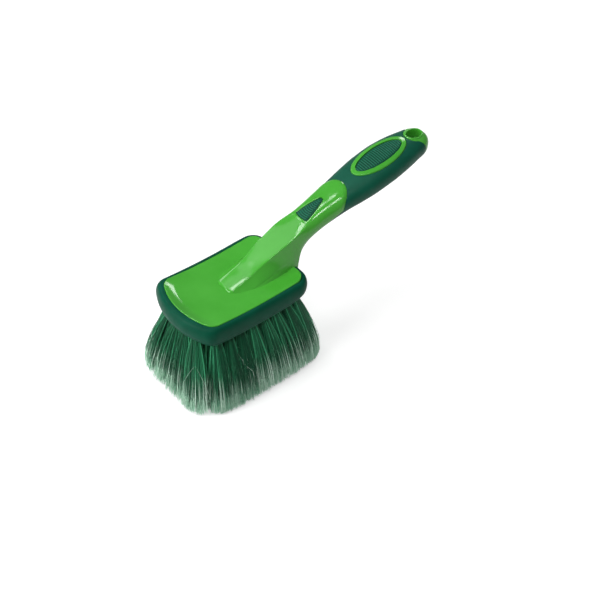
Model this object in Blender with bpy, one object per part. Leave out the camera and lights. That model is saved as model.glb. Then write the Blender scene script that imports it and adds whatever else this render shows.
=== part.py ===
"""Hand brush for washing: one moulded body with a head, a neck and a handle,
soft rubber moulded over its rim and its grip, and tufts of soft filament set
in blind holes in the underside of the head.

The frame is in metres with +Z up. The brush stands on its trimmed filament
tips, the nose of the head points along -X and the handle rises along +X. The
shapes are worked out in the head's own frame, whose X starts where the
straight sides of the head meet its bowed nose, and the whole brush is then
moved along X so that its origin lies on the floor below the middle of its box.
"""
import math
import random

import bmesh
import bpy
from mathutils import Vector

# Head: a plate with straight sides, a bowed nose and rounded rear corners.
head_length = 0.0936
head_width = 0.067
head_thickness = 0.015
nose_bow = 0.0101
nose_corner_radius = 0.0105
rear_corner_radius = 0.0136
head_dish = 0.0024

# Bumper: a soft D-shaped rim round the edge of the head.
bumper_height = 0.0182
bumper_side_overhang = 0.0052
bumper_nose_overhang = 0.0058
bumper_nose_corner_radius = 0.0125
bumper_rear_corner_radius = 0.0150
bumper_fullness_share = 0.62

# Handle: it runs from the nose of its spine on the head to the hanging end.
spine_length = 0.0571
handle_run = 0.2130
handle_rise = 0.0588
grip_width = 0.0394
end_round_length = 0.0155
end_round_depth = 0.0080
spine_root_depth = 0.0065
neck_foot_depth = 0.0010
neck_foot_height = 0.0020

# The handle's shape along its run. Places are shares of its length, where the
# first stretch lies on the head and ends at the head's rear edge. Heights above
# the rim are shares of handle_rise, and half widths are shares of half of
# grip_width.
rear_edge_share = 0.27
top_shares = (
    (0.0, 0.022), (0.05, 0.071), (0.12, 0.177), (0.19, 0.294), (0.27, 0.420),
    (0.365, 0.551), (0.42, 0.628), (0.48, 0.700), (0.55, 0.772), (0.62, 0.847),
    (0.69, 0.915), (0.76, 0.968), (0.82, 0.995), (0.87, 1.0), (0.93, 0.988),
    (1.0, 0.935),
)
bottom_shares = (
    (0.288, -0.085), (0.298, 0.03), (0.31, 0.130), (0.33, 0.190), (0.365, 0.236),
    (0.42, 0.290), (0.48, 0.345), (0.55, 0.400), (0.62, 0.439), (0.69, 0.486),
    (0.76, 0.541), (0.82, 0.588), (0.87, 0.617), (0.93, 0.641), (1.0, 0.655),
)
round_width_shares = (
    (0.365, 0.624), (0.42, 0.630), (0.48, 0.706), (0.55, 0.812), (0.62, 0.914),
    (0.69, 0.985), (0.76, 1.0), (0.82, 0.954), (0.87, 0.873), (0.93, 0.745),
    (1.0, 0.660),
)
facet_width_shares = (
    (0.0, 0.20), (0.006, 0.31), (0.018, 0.41), (0.12, 0.421), (0.19, 0.500),
    (0.27, 0.543), (0.31, 0.560), (0.365, 0.600),
)
base_width_shares = (
    (0.0, 0.22), (0.006, 0.36), (0.02, 0.53), (0.06, 0.770), (0.12, 0.935),
    (0.20, 0.955), (0.27, 0.945), (0.29, 0.900), (0.31, 0.787), (0.33, 0.700),
    (0.365, 0.630),
)
station_shares = (
    0.0, 0.006, 0.018, 0.04, 0.08, 0.12, 0.16, 0.20, 0.24, 0.27, 0.288, 0.298,
    0.31, 0.33, 0.365, 0.40, 0.44, 0.48, 0.52, 0.56, 0.60, 0.64, 0.68, 0.72,
    0.76, 0.80, 0.84, 0.87, 0.90,
)
# From the rear edge to this place the sharp-edged neck turns into the round grip.
round_start_share = 0.41
grip_start_share = 0.33
section_power = 2.35
neck_flare_power = 1.7

# Over-moulded rubber, and the trims that stand proud of it.
grip_thickness = 0.0023
trim_height = 0.0006
clearance = 0.0003
# Tongue: the neck's rounded end, which laps over the front of the grip.
tongue_end_share = 0.5716
tongue_end_radius = 0.0165
underside_share = 0.3796
underside_edge = 0.0008
tongue_edge_angle = math.radians(30)
# Oval window in the grip: a hard ring round a ribbed rubber pad.
ring_front_gap = 0.0110
ring_rear_gap = 0.0020
ring_width = 0.0268
ring_band = 0.0040
pad_ribs = 12
# Thumb pad in the top of the neck, with a low ridge in front of it.
thumb_share = 0.3702
thumb_length = 0.0205
thumb_base_width = 0.0132
thumb_tip_width = 0.0038
thumb_depth = 0.0018
thumb_ribs = 7
thumb_bulge_power = 1.6
ridge_width = 0.0010
ridge_gap = 0.0008
ridge_length = 0.0160
rib_width = 0.0009
rib_height = 0.0004
rib_margin = 0.0009
# Hanging end with its oval hole.
hole_to_end = 0.0135
hole_length = 0.0146
hole_width = 0.0108
hole_rim_band = 0.0012
cap_front_radius = 0.0090
cap_front_turn = math.radians(75)
cap_shoulder = 0.0042
cap_shoulder_width = 0.0290

# Tufts: columns run from the nose to the rear, rows from side to side.
tuft_columns = 8
tuft_rows = 6
tuft_front_margin = 0.0070
tuft_rear_margin = 0.0096
tuft_side_margin = 0.0075
tuft_radius = 0.0025
tuft_seat_depth = 0.0090
seat_wall = 0.0010
bristle_length = 0.0690
strands_on_edge_ring = 8
strands_on_inner_ring = 5
strand_ring_radius = 0.00160
strand_root_radius = 0.00050
strand_belly_radius = 0.00095
strand_tip_radius = 0.00085
strand_root_depth = 0.0015
belly_share = 0.45
tip_ring_radius = 0.0052
tip_wander = 0.0007
flare_nose = 0.0110
flare_rear = 0.0145
flare_side = 0.0205
bristle_bow_share = 0.45
tip_trim = 0.0005
tip_scatter = 0.0040
long_strand_share = 0.5
strand_sides = 3
seed = 7
# How far a tool reaches past the skin that it cuts.
overrun = 0.0020
weld_distance = 0.00003

# How finely the round shapes are drawn.
nose_steps = 10
corner_steps = 4
side_steps = 6
bumper_steps = 8
top_steps = 3
flank_steps = 7
bottom_steps = 4
end_steps = 5
end_turn = math.radians(82)
oval_steps = 32
hole_steps = 20
arc_steps = 13
thumb_steps = 6
seat_sides = 8
sharp_angle = math.radians(32)

MODEL_NAME = "hand_brush"
PART_COLORS = {
    "leaf_green_plastic": ((0.085, 0.400, 0.060), 0.25),
    "dark_green_rubber": ((0.008, 0.085, 0.055), 0.55),
    "green_filament": ((0.020, 0.120, 0.070), 0.60),
}

# Sizes and places that follow from the ones above.
rim_height = head_thickness + bristle_length
half_grip = grip_width / 2
spine_start = head_length - spine_length
handle_end = spine_start + handle_run
skin_top = rim_height + handle_rise + overrun


def handle_x(place):
    """Where a share of the handle's length lies along the brush."""
    if place <= rear_edge_share:
        return spine_start + spine_length * place / rear_edge_share
    beyond = (place - rear_edge_share) / (1 - rear_edge_share)
    return head_length + (handle_end - head_length) * beyond


def handle_share(x):
    """The share of the handle's length at a place behind the head."""
    beyond = (x - head_length) / (handle_end - head_length)
    return rear_edge_share + (1 - rear_edge_share) * beyond


tongue_x = handle_x(tongue_end_share)
thumb_x = handle_x(thumb_share)
hole_x = handle_end - hole_to_end
ring_front = tongue_x + ring_front_gap
ring_rear = hole_x - cap_front_radius - ring_rear_gap
ring_length = ring_rear - ring_front
ring_x = (ring_front + ring_rear) / 2
column_pitch = (head_length - tuft_front_margin - tuft_rear_margin) / (tuft_columns - 1)
row_pitch = (head_width - 2 * tuft_side_margin) / (tuft_rows - 1)


def clear_scene():
    """Remove what the file holds, so that the model starts from nothing."""
    for obj in list(bpy.data.objects):
        bpy.data.objects.remove(obj, do_unlink=True)
    for mesh in list(bpy.data.meshes):
        bpy.data.meshes.remove(mesh)


def new_collection(name):
    collection = bpy.data.collections.new(name)
    bpy.context.scene.collection.children.link(collection)
    return collection


def plain_material(name, color, roughness):
    material = bpy.data.materials.new(name)
    material.use_nodes = True
    shader = material.node_tree.nodes["Principled BSDF"]
    shader.inputs["Base Color"].default_value = (*color, 1.0)
    shader.inputs["Roughness"].default_value = roughness
    shader.inputs["Metallic"].default_value = 0.0
    material.diffuse_color = (*color, 1.0)
    return material


def mesh_object(name, bm, collection, material=None):
    """Turn a bmesh into an object of its own, with its faces pointing out."""
    bmesh.ops.recalc_face_normals(bm, faces=bm.faces)
    mesh = bpy.data.meshes.new(name)
    bm.to_mesh(mesh)
    bm.free()
    obj = bpy.data.objects.new(name, mesh)
    collection.objects.link(obj)
    if material is not None:
        mesh.materials.append(material)
        mesh.shade_smooth()
        mesh.set_sharp_from_angle(angle=sharp_angle)
    return obj


def tool_object(name, bm, collection):
    """An object that only shapes others: drawn as wire and never rendered."""
    obj = mesh_object(name, bm, collection)
    obj.hide_render = True
    obj.display_type = "WIRE"
    return obj


def combine(obj, other, operation):
    """Join, cut or trim obj with another object by a Boolean modifier."""
    modifier = obj.modifiers.new(operation.lower() + "_" + other.name, "BOOLEAN")
    modifier.operation = operation
    modifier.solver = "EXACT"
    modifier.object = other


def smooth_read(table, place):
    """Read (place, value) pairs along a smooth curve that doesn't overshoot."""
    if place <= table[0][0]:
        return table[0][1]
    if place >= table[-1][0]:
        return table[-1][1]
    slopes = [(b[1] - a[1]) / (b[0] - a[0]) for a, b in zip(table, table[1:])]
    index = max(i for i in range(len(slopes)) if table[i][0] <= place)

    def tangent(i):
        if i == 0:
            return slopes[0]
        if i == len(slopes):
            return slopes[-1]
        if slopes[i - 1] * slopes[i] <= 0:
            return 0.0
        return 2 * slopes[i - 1] * slopes[i] / (slopes[i - 1] + slopes[i])

    (x0, y0), (x1, y1) = table[index], table[index + 1]
    width = x1 - x0
    t = (place - x0) / width
    from_start = (1 + 2 * t) * (1 - t) ** 2 * y0 + t * (1 - t) ** 2 * width * tangent(index)
    from_end = t * t * (3 - 2 * t) * y1 + t * t * (t - 1) * width * tangent(index + 1)
    return from_start + from_end


def blend_step(value, low, high):
    t = min(max((value - low) / (high - low), 0.0), 1.0)
    return t * t * (3 - 2 * t)


def dish(x):
    """How far the rim of the head curls up at a place along it."""
    middle = head_length / 2
    return head_dish * ((x - middle) / middle) ** 2


def arc(centre_x, centre_y, radius, start, end, steps):
    turns = [start + (end - start) * i / steps for i in range(steps + 1)]
    return [(centre_x + radius * math.cos(a), centre_y + radius * math.sin(a)) for a in turns]


def oval(centre_x, length, width, steps):
    """An oval with no corner on the middle plane, where other edges run."""
    turns = [2 * math.pi * (i + 1 / 2) / steps for i in range(steps)]
    return [(centre_x + length / 2 * math.cos(a), width / 2 * math.sin(a)) for a in turns]


def head_outline(side=0.0, nose=0.0, nose_corner=nose_corner_radius, rear_corner=rear_corner_radius):
    """The head's outline, grown at its sides, rear and nose, as one closed loop."""
    half = head_width / 2 + side
    rear = head_length + side
    bow_radius = (head_width / 2) ** 2 / (2 * nose_bow) + nose_bow / 2 + nose
    bow_centre = bow_radius - nose_bow - nose
    fillet_y = half - nose_corner
    fillet_x = bow_centre - math.sqrt((bow_radius - nose_corner) ** 2 - fillet_y ** 2)
    turn = math.atan2(fillet_y, bow_centre - fillet_x)
    straight = rear - rear_corner - fillet_x
    bow = arc(bow_centre, 0.0, bow_radius, math.pi - turn, math.pi + turn, nose_steps)
    flank = arc(fillet_x, -fillet_y, nose_corner, math.pi + turn, 1.5 * math.pi, corner_steps)[1:]
    flank += [(fillet_x + straight * i / side_steps, -half) for i in range(1, side_steps)]
    flank += arc(
        rear - rear_corner, rear_corner - half, rear_corner, 1.5 * math.pi, 2 * math.pi, corner_steps
    )
    return bow + flank + [(x, -y) for x, y in reversed(flank)]


def nose_edge(y):
    """Where the bowed nose of the head lies at a distance from its middle."""
    bow_radius = (head_width / 2) ** 2 / (2 * nose_bow) + nose_bow / 2
    return bow_radius - nose_bow - math.sqrt(bow_radius ** 2 - y ** 2)


def add_prism(bm, outline, low, high):
    """A straight block over a plan outline."""
    face = bm.faces.new([bm.verts.new((x, y, low)) for x, y in outline])
    made = bmesh.ops.extrude_face_region(bm, geom=[face])
    for item in made["geom"]:
        if isinstance(item, bmesh.types.BMVert):
            item.co.z = high


def add_ring_prism(bm, outer, inner, low, high):
    """A straight wall between two plan outlines of as many points."""
    loops = [
        [bm.verts.new((x, y, z)) for x, y in outline]
        for outline, z in ((outer, low), (outer, high), (inner, high), (inner, low))
    ]
    bridge_loops(bm, loops, closed=True)


def bridge_loops(bm, loops, closed):
    """Quads between each loop of points and the next one."""
    pairs = list(zip(loops, loops[1:]))
    if closed:
        pairs.append((loops[-1], loops[0]))
    for first, second in pairs:
        for i in range(len(first)):
            j = (i + 1) % len(first)
            bm.faces.new((first[i], first[j], second[j], second[i]))


def profile_height(table, place):
    return rim_height + handle_rise * smooth_read(table, place)


def middle_height(x):
    """Height of the handle's centre line at a place behind the head."""
    place = handle_share(x)
    return (profile_height(top_shares, place) + profile_height(bottom_shares, place)) / 2


def round_half_section(place, grow, width_scale, depth_scale):
    """Right half of the grip's section, from the top down."""
    top = profile_height(top_shares, place)
    bottom = profile_height(bottom_shares, place)
    middle = (top + bottom) / 2
    half_depth = ((top - bottom) / 2 + grow) * depth_scale
    half_width = (half_grip * smooth_read(round_width_shares, place) + grow) * width_scale
    steps = top_steps + flank_steps + bottom_steps
    points = []
    for i in range(steps + 1):
        turn = math.pi / 2 - math.pi * i / steps
        side = abs(math.cos(turn)) ** (2 / section_power)
        rise = math.copysign(abs(math.sin(turn)) ** (2 / section_power), math.sin(turn))
        points.append((half_width * side, middle + half_depth * rise))
    points[0] = (0.0, points[0][1])
    points[-1] = (0.0, points[-1][1])
    return points


def neck_half_section(place, grow):
    """Right half of the neck's section: a flat facet on flanks that flare out."""
    top = profile_height(top_shares, place) + grow
    bottom = profile_height(bottom_shares, place) - grow
    if place < bottom_shares[0][0]:
        bottom = rim_height - spine_root_depth - grow
    foot = max(rim_height - neck_foot_depth, bottom + neck_foot_height)
    facet = half_grip * smooth_read(facet_width_shares, place) + grow
    base = half_grip * smooth_read(base_width_shares, place) + grow
    points = [(facet * i / top_steps, top) for i in range(top_steps + 1)]
    for i in range(1, flank_steps + 1):
        share = i / flank_steps
        points.append((facet + (base - facet) * share ** neck_flare_power, top + (foot - top) * share))
    points += [(base * (bottom_steps - i) / (bottom_steps - 1), bottom) for i in range(1, bottom_steps + 1)]
    return points


def handle_section(place, grow, width_scale=1.0, depth_scale=1.0):
    """Whole section of the handle, which the scales draw in towards its end."""
    half = round_half_section(place, grow, width_scale, depth_scale)
    share = blend_step(place, rear_edge_share, round_start_share)
    if share < 1:
        neck = neck_half_section(place, grow)
        half = [
            (a[0] + (b[0] - a[0]) * share, a[1] + (b[1] - a[1]) * share) for a, b in zip(neck, half)
        ]
    whole = half + [(-y, z) for y, z in reversed(half[1:-1])]
    return [(handle_x(place), y, z) for y, z in whole]


def end_section(turn, grow):
    """Section of the rounded end, at a turn between its start and a quarter."""
    x = handle_end - end_round_length + (end_round_length + grow) * math.sin(turn)
    into_end = (x - (handle_end - end_round_depth)) / (end_round_depth + grow)
    depth_scale = math.sqrt(1 - max(into_end, 0.0) ** 2)
    return handle_section(handle_share(x), grow, math.cos(turn), depth_scale)


def handle_bmesh(grow, start_share=0.0):
    """The neck and the handle as one loft, grown or shrunk by an even skin."""
    bm = bmesh.new()
    sections = [handle_section(place, grow) for place in station_shares if place >= start_share]
    sections += [end_section(end_turn * i / end_steps, grow) for i in range(end_steps + 1)]
    loops = [[bm.verts.new(point) for point in section] for section in sections]
    bridge_loops(bm, loops, closed=False)
    for loop in (loops[0], loops[-1]):
        centre = sum((vert.co for vert in loop), Vector()) / len(loop)
        hub = bm.verts.new(centre)
        for i in range(len(loop)):
            bm.faces.new((hub, loop[i - 1], loop[i]))
    bmesh.ops.triangulate(bm, faces=bm.faces)
    return bm


def head_block_bmesh():
    """The head: a slab whose top follows the dish along its length."""
    bm = bmesh.new()
    outline = head_outline()
    add_prism(bm, outline, bristle_length, rim_height)
    for x in [x for x, y in outline if y < 0 and x < head_length - clearance]:
        everything = bm.verts[:] + bm.edges[:] + bm.faces[:]
        bmesh.ops.bisect_plane(
            bm, geom=everything, dist=weld_distance, plane_co=(x, 0, 0), plane_no=(1, 0, 0)
        )
    for vert in bm.verts:
        if vert.co.z > bristle_length + clearance:
            vert.co.z = rim_height + dish(vert.co.x)
    bmesh.ops.triangulate(bm, faces=bm.faces)
    return bm


def bumper_bmesh(grow=0.0):
    """The rim: a D-shaped section from the head's edge out to its own outline."""
    bm = bmesh.new()
    inner = head_outline(side=clearance - grow / 2, nose=clearance - grow / 2)
    outer = head_outline(
        side=bumper_side_overhang + grow, nose=bumper_nose_overhang + grow,
        nose_corner=bumper_nose_corner_radius, rear_corner=bumper_rear_corner_radius,
    )
    loops = []
    for i in range(bumper_steps + 1):
        turn = math.pi * (i / bumper_steps - 0.5)
        out = abs(math.cos(turn)) ** bumper_fullness_share if 0 < i < bumper_steps else 0.0
        loop = []
        for (x0, y0), (x1, y1) in zip(inner, outer):
            top = rim_height + dish(x0) + grow
            bottom = rim_height + dish(x0) - bumper_height - grow
            height = (top + bottom) / 2 + (top - bottom) / 2 * math.sin(turn)
            loop.append(bm.verts.new((x0 + (x1 - x0) * out, y0 + (y1 - y0) * out, height)))
        loops.append(loop)
    bridge_loops(bm, loops, closed=True)
    bmesh.ops.triangulate(bm, faces=bm.faces)
    return bm


def tongue_zone(tools, grow, label):
    """The space of the neck and its tongue, with the cap zone joined to it."""
    front = spine_start - overrun
    low = rim_height - head_thickness
    # Seen from the side, the underside of the grip runs on below the tongue.
    slope = math.tan(tongue_edge_angle)
    wedge_x = handle_x(underside_share) + grow
    wedge_z = profile_height(bottom_shares, underside_share) + underside_edge
    wedge_z += grow * slope - grow / math.cos(tongue_edge_angle)
    side_view = [
        (front, low), (wedge_x, low), (wedge_x, wedge_z),
        (wedge_x + (skin_top - wedge_z) / slope, skin_top), (front, skin_top),
    ]
    bm = bmesh.new()
    face = bm.faces.new([bm.verts.new((x, -grip_width, z)) for x, z in side_view])
    made = bmesh.ops.extrude_face_region(bm, geom=[face])
    for item in made["geom"]:
        if isinstance(item, bmesh.types.BMVert):
            item.co.y = grip_width
    zone = tool_object(label, bm, tools)
    # Seen from above, the tongue ends in a half round.
    centre = tongue_x - tongue_end_radius
    plan = arc(centre, 0.0, tongue_end_radius + grow, -math.pi / 2, math.pi / 2, arc_steps)
    plan += [(centre - overrun, half_grip), (front - overrun, half_grip)]
    plan += [(front - overrun, -half_grip), (centre - overrun, -half_grip)]
    bm = bmesh.new()
    add_prism(bm, plan, low - overrun, skin_top + overrun)
    combine(zone, tool_object(label + "_plan", bm, tools), "INTERSECT")
    bm = bmesh.new()
    add_prism(bm, cap_outline(grow), low, skin_top)
    combine(zone, tool_object(label + "_cap", bm, tools), "UNION")
    return zone


def cap_outline(grow):
    """Plan of the hanging end: a round front about the hole, then shoulders."""
    front = arc(
        hole_x, 0.0, cap_front_radius + grow, math.pi - cap_front_turn, math.pi + cap_front_turn, arc_steps
    )
    shoulder_x = hole_x + cap_shoulder - grow
    wide = half_grip + overrun
    end = handle_end + overrun
    right = [(shoulder_x, -cap_shoulder_width / 2), (shoulder_x + overrun, -wide), (end, -wide)]
    return front + right + [(x, -y) for x, y in reversed(right)]


def thumb_half_width(share):
    """Half width of the thumb pad at a share of its length from its base."""
    spare = (thumb_base_width - thumb_tip_width) / 2 * (1 - share ** thumb_bulge_power)
    return thumb_tip_width / 2 + spare


def thumb_outline(grow):
    """Plan of the thumb pad: a straight base and sides that bow to a blunt tip."""
    points = []
    for i in range(thumb_steps + 1):
        share = i / thumb_steps
        x = thumb_x - grow + (thumb_length + 2 * grow) * share
        points.append((x, thumb_half_width(share) + grow))
    points.append((x + thumb_tip_width / 4, (thumb_tip_width + grow) / 4))
    return points + [(x, -y) for x, y in reversed(points)]


def trims_bmesh():
    """Upright walls over the ring, the ridge by the thumb pad and the hole's rim."""
    bm = bmesh.new()
    outer = oval(ring_x, ring_length, ring_width, oval_steps)
    inner = oval(ring_x, ring_length - 2 * ring_band, ring_width - 2 * ring_band, oval_steps)
    add_ring_prism(bm, outer, inner, middle_height(ring_x), skin_top)
    outer = oval(hole_x, hole_length + 2 * hole_rim_band, hole_width + 2 * hole_rim_band, hole_steps)
    inner = oval(hole_x, hole_length - hole_rim_band, hole_width - hole_rim_band, hole_steps)
    add_ring_prism(bm, outer, inner, middle_height(hole_x), skin_top)
    ridge_x = thumb_x - clearance - ridge_gap - ridge_width / 2
    add_prism(bm, slab_outline(ridge_x, ridge_width, ridge_length / 2), middle_height(thumb_x), skin_top)
    return bm


def slab_outline(x, width, half_length):
    """Plan of a straight slab across the brush."""
    left, right = x - width / 2, x + width / 2
    return [(left, -half_length), (right, -half_length), (right, half_length), (left, half_length)]


def pad_ribs_bmesh():
    """Thin upright slabs across the oval pad, each as wide as the pad is there."""
    bm = bmesh.new()
    half_length = ring_length / 2 - ring_band
    half_width = ring_width / 2 - ring_band
    pitch = 2 * (half_length - rib_margin) / pad_ribs
    for i in range(pad_ribs):
        along = pitch * (i - (pad_ribs - 1) / 2)
        outer_edge = (abs(along) + rib_width / 2) / half_length
        half = half_width * math.sqrt(1 - outer_edge ** 2) - rib_margin
        add_prism(bm, slab_outline(ring_x + along, rib_width, half), middle_height(ring_x), skin_top)
    return bm


def thumb_ribs_bmesh():
    """The same across the thumb pad."""
    bm = bmesh.new()
    for i in range(thumb_ribs):
        share = (i + 1 / 2) / thumb_ribs
        half = thumb_half_width(share) - rib_margin
        x = thumb_x + thumb_length * share
        add_prism(bm, slab_outline(x, rib_width, half), middle_height(thumb_x), skin_top)
    return bm


def tuft_places():
    """Column, row and centre of each tuft; the rows mirror each other in pairs."""
    places = []
    for column in range(-1, tuft_columns):
        x = tuft_front_margin + column_pitch * column
        for row in range(tuft_rows):
            y = row_pitch * (row - (tuft_rows - 1) / 2)
            if x - nose_edge(y) > tuft_radius + clearance + seat_wall:
                places.append((column, row, x, y))
    return places


def seats_bmesh(places):
    """All the blind holes for the tufts, as one set of upright cylinders."""
    bm = bmesh.new()
    depth = tuft_seat_depth + overrun
    for column, row, x, y in places:
        made = bmesh.ops.create_cone(
            bm, cap_ends=True, segments=seat_sides, radius1=tuft_radius + clearance,
            radius2=tuft_radius + clearance, depth=depth,
        )
        middle = bristle_length + tuft_seat_depth - depth / 2
        bmesh.ops.translate(bm, verts=made["verts"], vec=(x, y, middle))
    return bm


def tip_place(x, y, places):
    """Where the middle of a tuft rooted at (x, y) meets the floor: the bundle flares out."""
    row_places = [place[2] for place in places if place[3] == y]
    all_places = [place[2] for place in places]
    middle = (min(all_places) + max(all_places)) / 2
    if x < middle:
        tip_x = x - flare_nose * (middle - x) / (middle - min(row_places))
    else:
        tip_x = x + flare_rear * (x - middle) / (max(row_places) - middle)
    return tip_x, y + flare_side * y / max(place[3] for place in places)


def strands_bmesh(place, places):
    """The strands of one tuft, spread from its seat and trimmed at the floor."""
    column, row, x, y = place
    side = 1.0 if y > 0 else -1.0
    mirror_row = min(row, tuft_rows - 1 - row)
    dice = random.Random(seed + column * tuft_rows + mirror_row * tuft_columns * tuft_rows)
    tip_x, tip_y = tip_place(x, y, places)
    at_edge = row in (0, tuft_rows - 1) or column in (-1, tuft_columns - 1)
    ring_count = strands_on_edge_ring if at_edge else strands_on_inner_ring
    flare = math.hypot(tip_x - x, tip_y - y)
    lift = bristle_length - math.sqrt(bristle_length ** 2 - flare ** 2)
    bm = bmesh.new()
    for strand in range(ring_count + 1):
        turn = 2 * math.pi * strand / ring_count
        reach = strand_ring_radius if strand else 0.0
        tip_reach = tip_ring_radius if strand else 0.0
        root = (x + reach * math.cos(turn), y + side * reach * math.sin(turn))
        end = (
            tip_x + tip_reach * math.cos(turn) + tip_wander * dice.uniform(-1, 1),
            tip_y + side * (tip_reach * math.sin(turn) + tip_wander * dice.uniform(-1, 1)),
        )
        # The middle strand of each tuft reaches the floor, and so do some others.
        short = strand > 0 and dice.random() > long_strand_share
        end_height = lift + tip_scatter * dice.random() if short else -tip_trim
        start_turn = dice.uniform(0, 2 * math.pi)
        stations = (
            (0.0, bristle_length + strand_root_depth, strand_root_radius),
            (belly_share, bristle_length + (end_height - bristle_length) * belly_share, strand_belly_radius),
            (1.0, end_height, strand_tip_radius),
        )
        loops = []
        for share, height, radius in stations:
            bow = share * (1 + bristle_bow_share - bristle_bow_share * share)
            centre_x = root[0] + (end[0] - root[0]) * bow
            centre_y = root[1] + (end[1] - root[1]) * bow
            ring = arc(0.0, 0.0, radius, start_turn, start_turn + 2 * math.pi, strand_sides)[:-1]
            loops.append([bm.verts.new((centre_x + dx, centre_y + side * dy, height)) for dx, dy in ring])
        bridge_loops(bm, loops, closed=False)
        bm.faces.new(loops[0])
        bm.faces.new(loops[-1])
    everything = bm.verts[:] + bm.edges[:] + bm.faces[:]
    cut = bmesh.ops.bisect_plane(
        bm, geom=everything, plane_co=(0, 0, 0), plane_no=(0, 0, -1), clear_outer=True
    )
    open_edges = [item for item in cut["geom_cut"] if isinstance(item, bmesh.types.BMEdge)]
    bmesh.ops.edgeloop_fill(bm, edges=open_edges)
    return bm


def build_body(parts, tools, material, places):
    """The moulding: neck and hanging end, core, trims and head, then the holes."""
    body = mesh_object("brush_body", handle_bmesh(0.0), parts, material)
    combine(body, tongue_zone(tools, 0.0, "hard_zone"), "INTERSECT")
    combine(body, tool_object("grip_core", handle_bmesh(-grip_thickness, grip_start_share), tools), "UNION")
    trims = tool_object("proud_trims", trims_bmesh(), tools)
    skin = tool_object("proud_skin", handle_bmesh(trim_height, rear_edge_share), tools)
    combine(trims, skin, "INTERSECT")
    combine(body, trims, "UNION")
    combine(body, tool_object("bumper_room", bumper_bmesh(grow=clearance), tools), "DIFFERENCE")
    combine(body, tool_object("head_block", head_block_bmesh(), tools), "UNION")
    combine(body, tool_object("tuft_seats", seats_bmesh(places), tools), "DIFFERENCE")
    bm = bmesh.new()
    add_prism(bm, oval(hole_x, hole_length, hole_width, hole_steps), rim_height, skin_top)
    combine(body, tool_object("hanging_hole", bm, tools), "DIFFERENCE")
    bm = bmesh.new()
    add_prism(bm, thumb_outline(clearance), middle_height(thumb_x), skin_top)
    pocket = tool_object("thumb_pocket", bm, tools)
    floor = tool_object("thumb_pocket_floor", handle_bmesh(-thumb_depth, rear_edge_share), tools)
    combine(pocket, floor, "DIFFERENCE")
    combine(body, pocket, "DIFFERENCE")
    return body


def build_grip(parts, tools, material, core_room):
    """The rubber sleeve: the handle's skin between the tongue and the hanging end."""
    grip = mesh_object("grip_sleeve", handle_bmesh(0.0, grip_start_share), parts, material)
    combine(grip, core_room, "DIFFERENCE")
    combine(grip, tongue_zone(tools, clearance, "hard_zone_room"), "DIFFERENCE")
    bm = bmesh.new()
    window = oval(ring_x, ring_length + 2 * clearance, ring_width + 2 * clearance, oval_steps)
    add_prism(bm, window, middle_height(ring_x), skin_top)
    combine(grip, tool_object("ring_room", bm, tools), "DIFFERENCE")
    return grip


def build_pad(name, outline, floor, ribs, low, parts, tools, material):
    """A rubber pad let into the handle: its skin over an outline, with ribs."""
    bm = bmesh.new()
    add_prism(bm, outline, low, skin_top)
    pad = mesh_object(name, bm, parts, material)
    skin = tool_object(name + "_skin", handle_bmesh(0.0, rear_edge_share), tools)
    combine(pad, skin, "INTERSECT")
    rib_tool = tool_object(name + "_ribs", ribs, tools)
    rib_skin = tool_object(name + "_rib_skin", handle_bmesh(rib_height, rear_edge_share), tools)
    combine(rib_tool, rib_skin, "INTERSECT")
    combine(pad, rib_tool, "UNION")
    combine(pad, floor, "DIFFERENCE")
    return pad


def build_tufts(parts, tools, material, places):
    tufts = []
    for place in places:
        column, row, x, y = place
        bm = bmesh.new()
        depth = tuft_seat_depth - clearance
        made = bmesh.ops.create_cone(
            bm, cap_ends=True, segments=seat_sides, radius1=tuft_radius, radius2=tuft_radius, depth=depth
        )
        bmesh.ops.translate(bm, verts=made["verts"], vec=(x, y, bristle_length + depth / 2))
        name = f"tuft_{column + 2}_{row + 1}"
        tuft = mesh_object(name, bm, parts, material)
        combine(tuft, tool_object(name + "_strands", strands_bmesh(place, places), tools), "UNION")
        tufts.append(tuft)
    return tufts


def main():
    clear_scene()
    parts = new_collection(MODEL_NAME)
    tools = new_collection("cutters")
    plastic, rubber, filament = (
        plain_material(name, color, roughness) for name, (color, roughness) in PART_COLORS.items()
    )
    places = tuft_places()
    build_body(parts, tools, plastic, places)
    mesh_object("rim_bumper", bumper_bmesh(), parts, rubber)
    core_room = tool_object("core_room", handle_bmesh(clearance - grip_thickness, rear_edge_share), tools)
    build_grip(parts, tools, rubber, core_room)
    pad_length = ring_length - 2 * ring_band - 2 * clearance
    pad_width = ring_width - 2 * ring_band - 2 * clearance
    build_pad(
        "grip_pad", oval(ring_x, pad_length, pad_width, oval_steps), core_room, pad_ribs_bmesh(),
        middle_height(ring_x), parts, tools, rubber,
    )
    thumb_floor = tool_object("thumb_floor", handle_bmesh(clearance - thumb_depth, rear_edge_share), tools)
    build_pad(
        "thumb_pad", thumb_outline(0.0), thumb_floor, thumb_ribs_bmesh(),
        middle_height(thumb_x), parts, tools, rubber,
    )
    tufts = build_tufts(parts, tools, filament, places)
    # The whole brush hangs on one empty, which centres its box on the origin.
    origin = bpy.data.objects.new("brush_origin", None)
    parts.objects.link(origin)
    strand_tools = [tool for tool in tools.objects if tool.name.endswith("_strands")]
    nose_reach = min(vertex.co.x for tool in strand_tools for vertex in tool.data.vertices)
    end_reach = end_section(end_turn, 0.0)[0][0]
    for obj in list(parts.objects) + list(tools.objects):
        if obj is not origin:
            obj.parent = origin
    origin.location.x = -(nose_reach + end_reach) / 2
    print("tufts", len(tufts), "shift along X", round(origin.location.x, 6))


main()
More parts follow.
